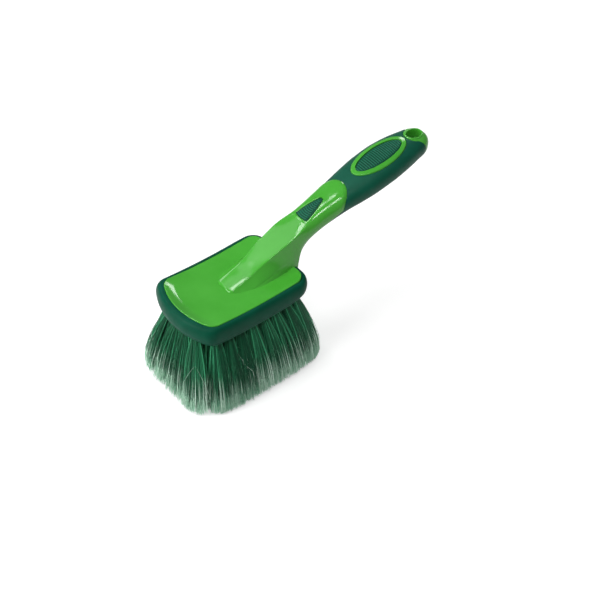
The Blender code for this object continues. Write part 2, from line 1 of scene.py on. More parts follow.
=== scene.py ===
# %% [markdown]
# # A hand brush for washing
#
# The real brush is three kinds of stuff. One glossy plastic moulding makes the
# head, the neck and the hanging end. Soft rubber is moulded over its rim, its
# grip and two ribbed pads. Tufts of soft filament are stapled into blind holes
# under the head. This lesson builds each of them at its real size, in metres,
# around a measured model that another script made, then lights it and sets a camera.
#
# The measured model comes first, because it says where everything is.

# %% Load the measured model
import math
from functools import partial

import bmesh
import bpy
import numpy as np
from mathutils import Matrix, Vector, kdtree


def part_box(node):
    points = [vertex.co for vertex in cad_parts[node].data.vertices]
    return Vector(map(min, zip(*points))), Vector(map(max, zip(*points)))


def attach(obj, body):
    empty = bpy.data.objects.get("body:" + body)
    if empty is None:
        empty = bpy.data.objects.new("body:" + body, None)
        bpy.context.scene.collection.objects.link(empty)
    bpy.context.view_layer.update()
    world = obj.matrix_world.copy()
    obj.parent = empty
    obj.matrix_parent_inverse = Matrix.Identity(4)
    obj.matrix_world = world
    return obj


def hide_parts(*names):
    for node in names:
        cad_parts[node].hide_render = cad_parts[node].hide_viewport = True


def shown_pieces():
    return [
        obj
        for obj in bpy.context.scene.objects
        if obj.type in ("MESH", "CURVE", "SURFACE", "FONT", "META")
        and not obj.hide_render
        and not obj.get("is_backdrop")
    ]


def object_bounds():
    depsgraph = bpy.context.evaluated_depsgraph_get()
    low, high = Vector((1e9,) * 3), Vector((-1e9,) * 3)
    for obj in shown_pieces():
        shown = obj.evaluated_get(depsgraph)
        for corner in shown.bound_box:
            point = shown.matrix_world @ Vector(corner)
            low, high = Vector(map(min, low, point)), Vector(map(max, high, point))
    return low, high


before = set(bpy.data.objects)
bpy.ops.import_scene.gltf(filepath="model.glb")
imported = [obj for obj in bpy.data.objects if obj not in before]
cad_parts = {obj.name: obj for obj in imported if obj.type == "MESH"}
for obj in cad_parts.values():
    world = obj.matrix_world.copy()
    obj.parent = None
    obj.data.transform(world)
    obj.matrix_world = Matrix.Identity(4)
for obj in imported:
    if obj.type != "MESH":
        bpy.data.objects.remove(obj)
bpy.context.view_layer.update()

# %% [markdown]
# ## Sizes
#
# Every size is a named value in metres. The head's own frame starts where its
# straight sides meet the bowed nose, so outlines stay easy to read. Finished
# meshes are moved along X by `head_zero` at the end. The measured model gives
# that place, and also how high the filament holds the head off the floor.
#
# The handle is described by tables of shares: where along the handle, and how
# high or wide it is there. A smooth curve through a few points is how a
# designer would draw the same profile with a spline.

# %% Sizes of the head, the rim and the handle
head_length, head_width, head_thickness = 0.0936, 0.067, 0.015
nose_bow, nose_corner_radius, rear_corner_radius = 0.0101, 0.0105, 0.0094
head_dish, cross_dish, cross_dish_ramp = 0.0024, 0.0013, 0.0090
bumper_height, bumper_side_overhang, bumper_nose_overhang = 0.0182, 0.0052, 0.0066
bumper_nose_corner_radius, bumper_rear_corner_radius = 0.0106, 0.0134
bumper_rear_overhang, bumper_rear_drop, bumper_rear_lift, bumper_rear_reach = 0.0044, 0.0013, 0.0042, 0.020

spine_length, handle_run, handle_rise = 0.0588, 0.2147, 0.0588
half_grip = 0.0394 / 2
end_round_length, end_round_depth = 0.0155, 0.0080
spine_root_depth, neck_foot_depth, neck_foot_height = 0.0065, 0.0022, 0.0020
grip_thickness, clearance = 0.0023, 0.0003

top_shares = (
    (0.0, 0.004), (0.05, 0.062), (0.10, 0.1205), (0.14, 0.197), (0.19, 0.294), (0.27, 0.420), (0.365, 0.551),
    (0.42, 0.628), (0.48, 0.700), (0.55, 0.772), (0.62, 0.847), (0.69, 0.915), (0.76, 0.968),
    (0.82, 0.995), (0.87, 1.008), (0.93, 1.012), (1.0, 0.990),
)
bottom_shares = (
    (0.292, -0.085), (0.303, 0.02), (0.316, 0.108), (0.335, 0.166), (0.365, 0.214), (0.42, 0.278),
    (0.48, 0.345), (0.55, 0.400), (0.62, 0.439), (0.69, 0.486), (0.76, 0.541), (0.82, 0.588),
    (0.87, 0.622), (0.93, 0.662), (1.0, 0.690),
)
round_width_shares = (
    (0.365, 0.698), (0.42, 0.702), (0.48, 0.750), (0.55, 0.812), (0.62, 0.914), (0.69, 0.985),
    (0.76, 1.0), (0.82, 0.954), (0.87, 0.873), (0.93, 0.745), (1.0, 0.660),
)
facet_width_shares = (
    (0.0, 0.30), (0.004, 0.38), (0.014, 0.445), (0.06, 0.440), (0.12, 0.446), (0.19, 0.540),
    (0.27, 0.612), (0.31, 0.642), (0.365, 0.675),
)
base_width_shares = (
    (0.0, 0.32), (0.004, 0.42), (0.02, 0.60), (0.06, 0.82), (0.12, 0.980), (0.20, 1.0),
    (0.27, 0.975), (0.29, 0.920), (0.31, 0.822), (0.33, 0.750), (0.365, 0.698),
)
rear_edge_share, round_start_share, section_power, neck_flare_power = 0.27, 0.41, 2.35, 1.2

bristle_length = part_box("brush_body")[0].z
head_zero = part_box("brush_body")[0].x + nose_bow
rim_height = bristle_length + head_thickness
spine_start = head_length - spine_length
handle_end = spine_start + handle_run
print("rim height", round(rim_height, 4), "head frame starts at", round(head_zero, 5))

# %% Helpers that read a table along a smooth curve


def smooth_read(table, place):
    """Read (place, value) pairs along a smooth curve that doesn't overshoot."""
    if place <= table[0][0]:
        return table[0][1]
    if place >= table[-1][0]:
        return table[-1][1]
    slopes = [(b[1] - a[1]) / (b[0] - a[0]) for a, b in zip(table, table[1:])]
    index = max(i for i in range(len(slopes)) if table[i][0] <= place)

    def tangent(i):
        if i == 0:
            return slopes[0]
        if i == len(slopes):
            return slopes[-1]
        if slopes[i - 1] * slopes[i] <= 0:
            return 0.0
        return 2 * slopes[i - 1] * slopes[i] / (slopes[i - 1] + slopes[i])

    (x0, y0), (x1, y1) = table[index], table[index + 1]
    width = x1 - x0
    t = (place - x0) / width
    from_start = (1 + 2 * t) * (1 - t) ** 2 * y0 + t * (1 - t) ** 2 * width * tangent(index)
    return from_start + t * t * (3 - 2 * t) * y1 + t * t * (t - 1) * width * tangent(index + 1)


def ease(value, low, high):
    """0 below low, 1 above high and a soft S between them; works on arrays too."""
    t = np.clip((value - low) / (high - low), 0.0, 1.0)
    return t * t * (3 - 2 * t)


def handle_x(place):
    """Where a share of the handle's length lies along the brush."""
    if place <= rear_edge_share:
        return spine_start + spine_length * place / rear_edge_share
    beyond = (place - rear_edge_share) / (1 - rear_edge_share)
    return head_length + (handle_end - head_length) * beyond


def handle_share(x):
    """The share of the handle's length at a place along the brush."""
    if x <= head_length:
        return rear_edge_share * (x - spine_start) / spine_length
    return rear_edge_share + (1 - rear_edge_share) * (x - head_length) / (handle_end - head_length)


def profile(table, place):
    return rim_height + handle_rise * smooth_read(table, place)


# %% [markdown]
# ## Helpers for meshes
#
# Most pieces here are grids of points: rows along the piece, columns round it.
# Writing one function that skins such a grid keeps every piece short, and the
# rows and columns say exactly where the density goes. Cuts are Boolean
# modifiers that are applied at once, so each step's mesh can be printed.

# %% Mesh helpers
weld, boolean_weld = 0.000005, 0.000001


def add_object(name, data):
    """An object that holds a mesh, a lamp or a camera, linked into the scene."""
    obj = bpy.data.objects.new(name, data)
    bpy.context.scene.collection.objects.link(obj)
    return obj


def plain_object(name, points, faces=()):
    """An object from points and faces, or from loose points, just as they are given."""
    mesh = bpy.data.meshes.new(name)
    mesh.from_pydata([tuple(point) for point in points], [], faces)
    return add_object(name, mesh)


def clean(obj, reach, fresh=False):
    """Weld points within a reach. Then turn a fresh mesh's faces out, or drop a cut one's slivers."""
    bm = bmesh.new()
    bm.from_mesh(obj.data)
    bmesh.ops.remove_doubles(bm, verts=bm.verts, dist=reach)
    if fresh:
        bmesh.ops.recalc_face_normals(bm, faces=bm.faces)
    else:
        bmesh.ops.dissolve_degenerate(bm, edges=bm.edges, dist=reach)
    bm.to_mesh(obj.data)
    bm.free()
    return obj


def mesh_object(name, points, faces):
    return clean(plain_object(name, points, faces), weld, fresh=True)


def walls(here, there, around):
    """Quads between two closed loops of points, each known by the number of its first point."""
    return [(here + j, here + (j + 1) % around, there + (j + 1) % around, there + j) for j in range(around)]


def skin_grid(name, rows, ring=True):
    """Skin a grid of points, shape (rows, columns, 3). Rows are closed loops.

    A ring also joins the last row to the first. Otherwise each end gets a fan.
    """
    count, around = rows.shape[:2]
    points = list(rows.reshape(-1, 3))
    faces = []
    for i in range(count if ring else count - 1):
        faces += walls(i * around, (i + 1) % count * around, around)
    if not ring:
        for start in (0, (count - 1) * around):
            hub = len(points)
            points.append(rows[start // around].mean(axis=0))
            faces += [(hub, start + j, start + (j + 1) % around) for j in range(around)]
    return mesh_object(name, points, faces)


def block(name, near, far):
    """A solid between two outlines that have equally many points."""
    count = len(near)
    caps = [tuple(range(count)), tuple(range(count, 2 * count))]
    return mesh_object(name, near + far, walls(0, count, count) + caps)


def prism(name, outline, low, high):
    """A straight block over a plan outline."""
    return block(name, *([(x, y, z) for x, y in outline] for z in (low, high)))


def apply_modifiers(obj):
    """Swap the object's mesh for what its modifiers make of it."""
    shape = obj.evaluated_get(bpy.context.evaluated_depsgraph_get())
    made = bpy.data.meshes.new_from_object(shape)
    obj.modifiers.clear()
    old, obj.data = obj.data, made
    bpy.data.meshes.remove(old)
    return obj


def combine(obj, other, operation):
    """Join, cut or trim obj with another object, which is used up."""
    modifier = obj.modifiers.new(operation, "BOOLEAN")
    modifier.operation = operation
    modifier.solver = "EXACT"
    modifier.object = other
    clean(apply_modifiers(obj), boolean_weld)
    bpy.data.objects.remove(other, do_unlink=True)
    return obj


def arc(centre_x, centre_y, radius, start, end, steps):
    turns = np.linspace(start, end, steps + 1)
    return [(centre_x + radius * math.cos(a), centre_y + radius * math.sin(a)) for a in turns]


def oval(centre_x, length, width, steps):
    turns = (np.arange(steps) + 0.5) * 2 * math.pi / steps
    return [(centre_x + length / 2 * math.cos(a), width / 2 * math.sin(a)) for a in turns]


# %% [markdown]
# ## The head
#
# The head is a shallow tray: its top face is dished both ways, and its
# bowed nose curls up into a low lip that catches the light. It could be a box
# with loop cuts and a subdivision surface, but the outline is made of true arcs,
# so the outline is drawn first and offset inwards. The lip is a height that
# depends only on how far in a loop lies, and further in the loops shrink to a
# point that the spine will cover.

# %% The outline of the head
nose_steps, corner_steps, side_steps = 36, 16, 24
nose_bow_radius = (head_width / 2) ** 2 / (2 * nose_bow) + nose_bow / 2


def head_outline(
    side=0.0, nose=0.0, rear=0.0, nose_corner=nose_corner_radius, rear_corner=rear_corner_radius,
):
    """The head's outline, grown at its sides, nose and rear, as one closed loop."""
    half = head_width / 2 + side
    rear = head_length + rear
    bow_radius = nose_bow_radius + nose
    bow_centre = bow_radius - nose_bow - nose
    fillet_y = half - nose_corner
    fillet_x = bow_centre - math.sqrt((bow_radius - nose_corner) ** 2 - fillet_y ** 2)
    turn = math.atan2(fillet_y, bow_centre - fillet_x)
    corner_x, corner_y = rear - rear_corner, half - rear_corner
    straight = corner_x - fillet_x
    bow = arc(bow_centre, 0.0, bow_radius, math.pi - turn, math.pi + turn, nose_steps)
    flank = arc(fillet_x, -fillet_y, nose_corner, math.pi + turn, 1.5 * math.pi, corner_steps)[1:]
    flank += [(fillet_x + straight * i / side_steps, -half) for i in range(1, side_steps)]
    flank += arc(corner_x, -corner_y, rear_corner, 1.5 * math.pi, 2 * math.pi, corner_steps)
    rear_edge = [(rear, y) for y in np.linspace(-corner_y, corner_y, side_steps)[1:-1]]
    return bow + flank + rear_edge + [(x, -y) for x, y in reversed(flank)]


def dish(x):
    """How far the rim of the head curls up at a place along it."""
    middle = head_length / 2
    return head_dish * ((x - middle) / middle) ** 2


# %% The head as a tray with a lip
lip_height, lip_width, edge_radius = 0.0006, 0.0052, 0.0006
lip_front, lip_back, lip_rear_share = 0.002, 0.030, 0.25
edge_steps, dish_steps, inner_loops, hub_share = 7, 20, 34, 0.02


def inset_loop(inset):
    return np.array(head_outline(
        side=-inset, nose=-inset, rear=-inset,
        nose_corner=nose_corner_radius - inset, rear_corner=rear_corner_radius - inset,
    ))


def tray_row(loop, inset):
    """A loop on top of the head: dished both ways, with a lip that fades inwards and to the rear."""
    x, y = loop.T
    lip = lip_height * (1 - np.clip((inset - edge_radius) / lip_width, 0, 1)) ** 2
    lip = lip * (lip_rear_share + (1 - lip_rear_share) * (1 - ease(x, lip_front, lip_back)))
    into_edge = np.clip(1 - inset / edge_radius, 0, 1)
    sunk = cross_dish * (1 - (y / (head_width / 2)) ** 2) * ease(inset, 0, cross_dish_ramp)
    height = rim_height + dish(x) - sunk + lip - edge_radius * (1 - np.sqrt(1 - into_edge ** 2))
    return np.column_stack([loop, height])


def head_rows():
    edge = inset_loop(0.0)
    wall = (bristle_length, rim_height - edge_radius)
    rows = [np.column_stack([edge, np.full(len(edge), z)]) for z in wall]
    insets = [edge_radius * (1 - math.cos(turn)) for turn in np.linspace(0, math.pi / 2, edge_steps)]
    insets += list(np.linspace(edge_radius, cross_dish_ramp, dish_steps)[1:])
    for inset in insets:
        loop = inset_loop(inset)
        rows.append(tray_row(loop, inset))
    middle = np.array([head_length / 2, 0.0])
    for share in np.linspace(1, hub_share, inner_loops)[1:]:
        rows.append(tray_row(middle + (loop - middle) * share, cross_dish_ramp))
    return np.array(rows)


head = skin_grid("head", head_rows(), ring=False)
print("head:", len(head.data.polygons), "faces")

# %% [markdown]
# ## The neck and the handle
#
# From the head to the hanging end this is one swept form whose section changes:
# a sharp-edged, flat-topped spine on the head, a soft oval at the grip. The
# section is written once as a half outline with a running number `u`, and every
# station along the handle reads its own sizes from the tables. Sharp corners
# never come out of a mould, so each corner is swapped for a small curve.
#
# The points crowd together where the form turns quickly. That costs nothing
# where it is flat, and it keeps the highlights clean.

# %% One half section of the handle
facet_end, flank_end, foot_end, section_end = 3.0, 10.0, 11.0, 14.0
facet_points, flank_points, foot_points, under_points = 26, 34, 5, 16
facet_edge_radius, foot_edge_radius = 0.0010, 0.0009
facet_crown, nose_crown, nose_crown_share = 0.00040, 0.00050, 0.14
crowding = 0.6


def crowd(start, end, count, both=False):
    """Numbers from start to end that crowd together towards the end, or towards both."""
    t = np.linspace(0.0, 1.0, count + 1)
    eased = (1 - np.cos(math.pi * t)) / 2 if both else np.sin(math.pi * t / 2)
    return start + (end - start) * ((1 - crowding) * t + crowding * eased)


section_u = np.concatenate([
    crowd(0.0, facet_end, facet_points),
    crowd(facet_end, flank_end, flank_points, both=True)[1:],
    crowd(flank_end, foot_end, foot_points, both=True)[1:],
    crowd(section_end, foot_end, under_points)[::-1][1:],
])


def soften(points, index, radius):
    """Swap the corner at an index for a curve that starts a radius away on both sides."""
    steps = np.hypot(*np.diff(points, axis=0).T)
    along = np.concatenate([[0.0], np.cumsum(steps)]) - steps[:index].sum()
    first, last = (np.array([np.interp(s, along, points[:, k]) for k in (0, 1)]) for s in (-radius, radius))
    near = np.abs(along) < radius
    t = ((along[near] + radius) / (2 * radius))[:, None]
    corner = points[index].copy()
    points[near] = (1 - t) ** 2 * first + 2 * t * (1 - t) * corner + t * t * last
    return points


def half_section(place, grow=0.0, width_scale=1.0, depth_scale=1.0):
    """Right half of the handle's section, from the top down, as (y, z) pairs."""
    def half_across(table):
        return half_grip * smooth_read(table, place) + grow

    u = section_u
    top, bottom = profile(top_shares, place), profile(bottom_shares, place)
    half_depth = ((top - bottom) / 2 + grow) * depth_scale
    half_width = half_across(round_width_shares) * width_scale
    turn = math.pi / 2 - math.pi * u / section_end
    side = np.abs(np.cos(turn)) ** (2 / section_power)
    rise = np.sign(np.sin(turn)) * np.abs(np.sin(turn)) ** (2 / section_power)
    points = np.column_stack([half_width * side, (top + bottom) / 2 + half_depth * rise])
    roundness = float(ease(place, rear_edge_share, round_start_share))
    if roundness < 1:
        if place < bottom_shares[0][0]:
            bottom = rim_height - spine_root_depth
        top, bottom = top + grow, bottom - grow
        foot = max(rim_height - neck_foot_depth, bottom + neck_foot_height)
        facet, base = half_across(facet_width_shares), half_across(base_width_shares)
        share = np.clip((u - facet_end) / (flank_end - facet_end), 0, 1)
        flared = facet + (base - facet) * share ** neck_flare_power
        y = np.where(u <= facet_end, facet * u / facet_end, flared)
        y = np.where(u > foot_end, base * (section_end - u) / (section_end - foot_end), y)
        crown = facet_crown + nose_crown * (1 - float(ease(place, 0, nose_crown_share)))
        shoulder = top - crown
        z = np.where(u <= facet_end, top - crown * (u / facet_end) ** 2, shoulder + (foot - shoulder) * share)
        z = np.where(u > flank_end, np.interp(u, [flank_end, foot_end], [foot, bottom]), z)
        neck = np.column_stack([y, z])
        points = neck + (points - neck) * roundness
    soften(points, facet_points, facet_edge_radius)
    soften(points, facet_points + flank_points + foot_points, foot_edge_radius)
    points[[0, -1], 0] = 0.0
    return points


# %% The whole skin of the handle
station_pitch, nose_pitch, nose_reach = 0.00045, 0.00018, 0.0036
nose_round, nose_sill, nose_drop_share = 0.0017, 0.0007, 0.96
end_turns, end_steps, end_limit = math.radians(83), 30, 0.99


def whole_section(x, grow, width_scale=1.0, depth_scale=1.0):
    half = half_section(handle_share(x), grow, width_scale, depth_scale)
    whole = np.concatenate([half, half[-2:0:-1] * (-1, 1)])
    return np.column_stack([np.full(len(whole), x), whole])


def handle_rows(grow=0.0, start=spine_start, pitch=station_pitch, turns=end_steps):
    """Sections from a start to the rounded end, grown or shrunk by an even skin."""
    stations = np.arange(start, handle_end - end_round_length, pitch)
    if start == spine_start:
        fine = np.arange(start, start + nose_reach, nose_pitch)
        stations = np.concatenate([fine, stations[stations > fine[-1] + nose_pitch]])
    rows = [whole_section(x, grow) for x in stations]
    for turn in np.linspace(0, end_turns, turns + 1):
        x = handle_end - end_round_length + (end_round_length + grow) * math.sin(turn)
        into_end = max((x - (handle_end - end_round_depth)) / (end_round_depth + grow), 0.0)
        rows.append(whole_section(x, grow, math.cos(turn), math.sqrt(1 - into_end ** 2)))
    rows = np.array(rows)
    # The nose of the spine is rounded over, where it drops to the head.
    into_nose = np.clip(1 - (rows[:, :, 0] - spine_start) / nose_round, 0, 1)
    above = np.clip(rows[:, :, 2] - rim_height + cross_dish + nose_sill, 0, None)
    rows[:, :, 2] -= above * (1 - np.sqrt(1 - into_nose ** 2)) * nose_drop_share
    return rows


def skin_height(x, y, upper=True):
    """Height of the handle's upper or under skin over a point in plan."""
    scales = []
    for run in (end_round_length, end_round_depth):
        into = min(max(x - (handle_end - run), 0.0) / run, end_limit)
        scales.append(math.sqrt(1 - into ** 2))
    half = half_section(handle_share(x), 0.0, *scales)
    widest = int(np.argmax(half[:, 0]))
    side = half[:widest + 1] if upper else half[:widest - 1:-1]
    return float(np.interp(abs(y), side[:, 0], side[:, 1]))


skin = handle_rows()
print("handle skin:", skin.shape[0], "stations of", skin.shape[1], "points")

# %% [markdown]
# ## Seams between plastic and rubber
#
# Plastic and rubber meet flush, but both edges are slightly rolled, so each seam
# shows as a fine groove with a bright line beside it. A bevel on edges that a
# Boolean has cut is fragile. Here the skin is pressed in along the seams before
# it is cut: each seam is written as a function that is zero on it, the places
# where that function changes sign are collected, and every point of the skin
# sinks by how near it lies to them.

# %% Where the seams run
tongue_share, wedge_share, thumb_share = 0.5716, 0.3796, 0.3702
tongue_x, tongue_radius = handle_x(tongue_share), 0.0165
wedge_turn, wedge_lift = math.radians(30), 0.0008
tongue_slope = math.tan(wedge_turn)
wedge_x, wedge_z = handle_x(wedge_share), profile(bottom_shares, wedge_share) + wedge_lift
hole_inset, hole_length, hole_width = 0.0135, 0.0146, 0.0108
hole_x = handle_end - hole_inset
cap_radius, cap_turn, cap_slant_share = 0.0090, math.radians(75), 0.75
cap_shoulder, cap_wide_shoulder, cap_half_width = 0.0042, 0.0056, 0.0145
thumb_floor, ring_floor = (profile(bottom_shares, share) for share in (0.45, 0.9))
ring_front_gap, ring_rear_gap, ring_width, ring_band = 0.0110, 0.0020, 0.0268, 0.0040
ring_front, ring_rear = tongue_x + ring_front_gap, hole_x - cap_radius - ring_rear_gap
ring_x, ring_length = (ring_front + ring_rear) / 2, ring_rear - ring_front
thumb_x, thumb_length = handle_x(thumb_share), 0.0205
thumb_base, thumb_tip, thumb_power, thumb_bow, thumb_bulge = 0.0132, 0.0038, 1.6, 0.0012, 0.6


def tongue_side(x, y, z):
    """Above zero on plastic, below zero on rubber, for the neck's tongue and the end cap."""
    tongue = tongue_radius - np.hypot(np.maximum(x - tongue_x + tongue_radius, 0), y)
    under = np.maximum((z - wedge_z - (x - wedge_x) * tongue_slope) * math.cos(wedge_turn), wedge_x - x)
    front_y = cap_radius * math.sin(cap_turn)
    front_x = hole_x - cap_radius * math.cos(cap_turn)
    shoulder_x = np.interp(
        np.abs(y), [front_y, cap_half_width, half_grip],
        [front_x, hole_x + cap_shoulder, hole_x + cap_wide_shoulder],
    )
    cap = np.maximum(cap_radius - np.hypot(x - hole_x, y), (x - shoulder_x) * cap_slant_share)
    return np.maximum(np.minimum(tongue, under), cap)


def thumb_half_width(share):
    spare = (thumb_base - thumb_tip) / 2 * (1 - share ** thumb_power)
    return thumb_tip / 2 + spare


def thumb_side(x, y, z):
    """Above zero inside the thumb pad's outline, whose base is bowed."""
    share = np.clip((x - thumb_x) / thumb_length, 0, 1)
    bowed = thumb_x - thumb_bow * (1 - np.clip(np.abs(y) / (thumb_base / 2), 0, 1) ** 2)
    inside = np.minimum(thumb_half_width(share) - np.abs(y), x - bowed)
    inside = np.minimum(inside, thumb_x + thumb_length - x)
    return np.where(z > thumb_floor, inside, -1.0)


def ring_side(x, y, z):
    """Above zero inside the oval window, on the upper side of the handle only."""
    reach = np.hypot((x - ring_x) / (ring_length / 2), y / (ring_width / 2))
    return np.where(z > ring_floor, (1 - reach) * ring_width / 2, -1.0)


# %% Press the seams into the skin
seam_depth, seam_width, seam_fill, shortest_normal = 0.00035, 0.0010, 6, 1e-12
tongue_rise, tongue_rise_width = 0.00045, 0.0030
tongue_fade_start, tongue_fade_end = 0.020, 0.008


def seam_points(rows, side):
    """Closely set points along a seam: where its function changes sign across a cell of the grid."""
    values = side(rows[:, :, 0], rows[:, :, 1], rows[:, :, 2])
    inside = values > 0
    corners = inside[:-1].astype(int) + inside[1:]
    corners = corners + np.roll(corners, -1, axis=1)
    found = []
    for i, j in zip(*np.nonzero((corners > 0) & (corners < 4))):
        k = (j + 1) % rows.shape[1]
        loop = [(i, j), (i, k), (i + 1, k), (i + 1, j)]
        ends = []
        for a, b in zip(loop, loop[1:] + loop[:1]):
            if inside[a] != inside[b]:
                ends.append(rows[a] + (rows[b] - rows[a]) * values[a] / (values[a] - values[b]))
        found += [ends[0] + (ends[-1] - ends[0]) * t for t in np.linspace(0, 1, seam_fill)]
    return np.array(found), values


def distance_to(points, rows, reach):
    """Distance of every grid point to the nearest of some points, up to a reach."""
    tree = kdtree.KDTree(len(points))
    for index, point in enumerate(points):
        tree.insert(point, index)
    tree.balance()
    low, high = points.min(axis=0) - reach, points.max(axis=0) + reach
    near = np.all((rows > low) & (rows < high), axis=2)
    distances = np.full(rows.shape[:2], reach)
    distances[near] = [min(tree.find(point)[2], reach) for point in rows[near]]
    return distances


def grid_normals(rows):
    """Outward normals of a grid of closed loops."""
    along = np.gradient(rows, axis=0)
    around = np.roll(rows, -1, axis=1) - np.roll(rows, 1, axis=1)
    normals = np.cross(around, along)
    normals /= np.maximum(np.linalg.norm(normals, axis=2, keepdims=True), shortest_normal)
    outward = rows - rows.mean(axis=1, keepdims=True)
    flip = np.sign((normals * outward).sum(axis=(1, 2)))
    return normals * flip[:, None, None]


normals = grid_normals(skin)
sink = np.zeros(skin.shape[:2])
for side in (tongue_side, thumb_side, ring_side):
    points, values = seam_points(skin, side)
    distances = distance_to(points, skin, tongue_rise_width)
    sink += seam_depth * np.clip(1 - distances / seam_width, 0, 1) ** 2
    if side is tongue_side:
        plastic = (values > 0) & (skin[:, :, 0] < tongue_x) & (skin[:, :, 0] > wedge_x)
        fade = ease(skin[:, :, 0], tongue_x - tongue_fade_start, tongue_x - tongue_fade_end)
        sink -= np.where(plastic, tongue_rise * ease(distances, 0, tongue_rise_width) * fade, 0)
    print(side.__name__, len(points), "seam points")
pressed = skin - normals * sink[:, :, None]

# %% [markdown]
# ## Cutting the moulding
#
# The plastic is what the pressed skin holds inside the seams, joined to a core
# that runs on under the rubber. The rubber sleeve is the same skin with the
# plastic and the core taken out of it. One skin for both means that the two
# surfaces run on smoothly across each seam. The head joins last, once its own
# holes are cut: a Boolean is surest when each shape is simple and its points
# are welded after every cut.

# %% The moulding of neck, core and cap
overrun, seam_steps = 0.002, 72
thumb_base_points, thumb_side_points, thumb_tip_points = 25, 33, 13
skin_top = rim_height + handle_rise + 2 * overrun


def cap_outline(grow):
    front = arc(hole_x, 0.0, cap_radius + grow, math.pi - cap_turn, math.pi + cap_turn, seam_steps)
    wide, end = half_grip + overrun, handle_end + overrun
    right = [(hole_x + cap_shoulder - grow, -cap_half_width)]
    right += [(hole_x + cap_shoulder + overrun - grow, -wide), (end, -wide)]
    return front + right + [(x, -y) for x, y in reversed(right)]


def plastic_zone(grow):
    """The space that the plastic fills: neck, tongue and cap."""
    front, low, wide = spine_start - 2 * overrun, rim_height - head_thickness, 2 * half_grip
    edge_x = wedge_x + grow
    edge_z = wedge_z + grow * tongue_slope - grow / math.cos(wedge_turn)
    reach_x = edge_x + (skin_top - edge_z) / tongue_slope
    view = [(front, low), (edge_x, low), (edge_x, edge_z), (reach_x, skin_top), (front, skin_top)]
    zone = block("zone", *([(x, y, z) for x, z in view] for y in (-wide, wide)))
    centre = tongue_x - tongue_radius
    plan = arc(centre, 0.0, tongue_radius + grow, -math.pi / 2, math.pi / 2, seam_steps)
    plan += [(centre - overrun, half_grip), (front, half_grip)]
    plan += [(front, -half_grip), (centre - overrun, -half_grip)]
    combine(zone, prism("plan", plan, low - overrun, skin_top + overrun), "INTERSECT")
    return combine(zone, prism("cap", cap_outline(grow), low, skin_top), "UNION")


def thumb_outline(grow):
    """Plan of the thumb pad: a bowed base and sides that close to a blunt tip."""
    turns = np.linspace(1, -1, thumb_base_points)
    half = thumb_base / 2 + grow
    base = [(thumb_x - grow - thumb_bow * (1 - t * t), half * t) for t in turns]
    side = []
    for share in np.linspace(0, 1, thumb_side_points)[1:]:
        side.append((thumb_x - grow + (thumb_length + 2 * grow) * share, thumb_half_width(share) + grow))
    tip_x, tip_y = side[-1]
    turns = np.linspace(0, math.pi, thumb_tip_points)[1:-1]
    tip = [(tip_x + tip_y * thumb_bulge * math.sin(a), tip_y * math.cos(a)) for a in turns]
    return base + [(x, -y) for x, y in side] + [(x, -y) for x, y in tip] + list(reversed(side))


core_share, pocket_share, thumb_depth = 0.33, 0.34, 0.0018
core_start, core_pitch, core_turns = handle_x(core_share), 0.002, 8
moulding = skin_grid("moulding", pressed, ring=False)
combine(moulding, plastic_zone(0.0), "INTERSECT")
core = handle_rows(-grip_thickness, core_start, core_pitch, core_turns)
combine(moulding, skin_grid("core", core, ring=False), "UNION")
print("moulding:", len(moulding.data.polygons), "faces")

# %% [markdown]
# ## Ring, hole lip and ridge
#
# Three raised details belong to the same moulding: the flat oval ring in the
# grip, the lip of the hanging hole and a short ridge by the thumb pad. Each is
# a small section carried along a path that lies on the skin. Carrying it by a
# loop gives clean rows of faces, where cutting it out of a thicker skin would
# leave slivers.

# %% The oval ring
ring_proud, ring_sunk, ring_edge = 0.0006, 0.0029, 0.0005
ring_turns, ring_edge_points, ring_flat_points = 168, 6, 7


def band_section():
    """The ring's section: a flat top between rounded edges, as (across, below the top) pairs."""
    half = ring_band / 2
    turns = np.linspace(0, math.pi / 2, ring_edge_points)
    edge = [(half - ring_edge + ring_edge * math.sin(a), ring_edge - ring_edge * math.cos(a)) for a in turns]
    edge.append((half, ring_sunk + ring_proud))
    flat = [(y, 0.0) for y in np.linspace(-half + ring_edge, half - ring_edge, ring_flat_points)[1:-1]]
    return [(-across, below) for across, below in reversed(edge)] + flat + edge


def ring_rows():
    rows = []
    length, width = (ring_length - ring_band) / 2, (ring_width - ring_band) / 2
    for turn in np.arange(ring_turns) * 2 * math.pi / ring_turns:
        row = []
        for across, below in band_section():
            x = ring_x + (length + across) * math.cos(turn)
            y = (width + across) * math.sin(turn)
            row.append((x, y, skin_height(x, y) + ring_proud - below))
        rows.append(row)
    return np.array(rows)


combine(moulding, skin_grid("ring", ring_rows()), "UNION")
print("with the ring:", len(moulding.data.polygons), "faces")

# %% The hanging hole with its rounded lip
lip_band, lip_proud, lip_round = 0.0017, 0.0007, 0.0007
hole_turns, hole_lip_points = 96, 13


def liner_rows():
    """A tube that lines the hole, with a rounded lip above and below."""
    rows = []
    arcs = np.linspace(0, math.pi, hole_lip_points)
    for turn in (np.arange(hole_turns) + 0.5) * 2 * math.pi / hole_turns:
        row = []
        for upper in (True, False):
            sign = 1 if upper else -1
            for a in arcs if upper else arcs[::-1]:
                across = lip_band / 2 - lip_band / 2 * math.cos(a)
                x = hole_x + (hole_length / 2 + across) * math.cos(turn)
                y = (hole_width / 2 + across) * math.sin(turn)
                lift = lip_proud - lip_round * (1 - math.sin(a))
                row.append((x, y, skin_height(x, y, upper) + sign * lift))
        rows.append(row)
    return np.array(rows)


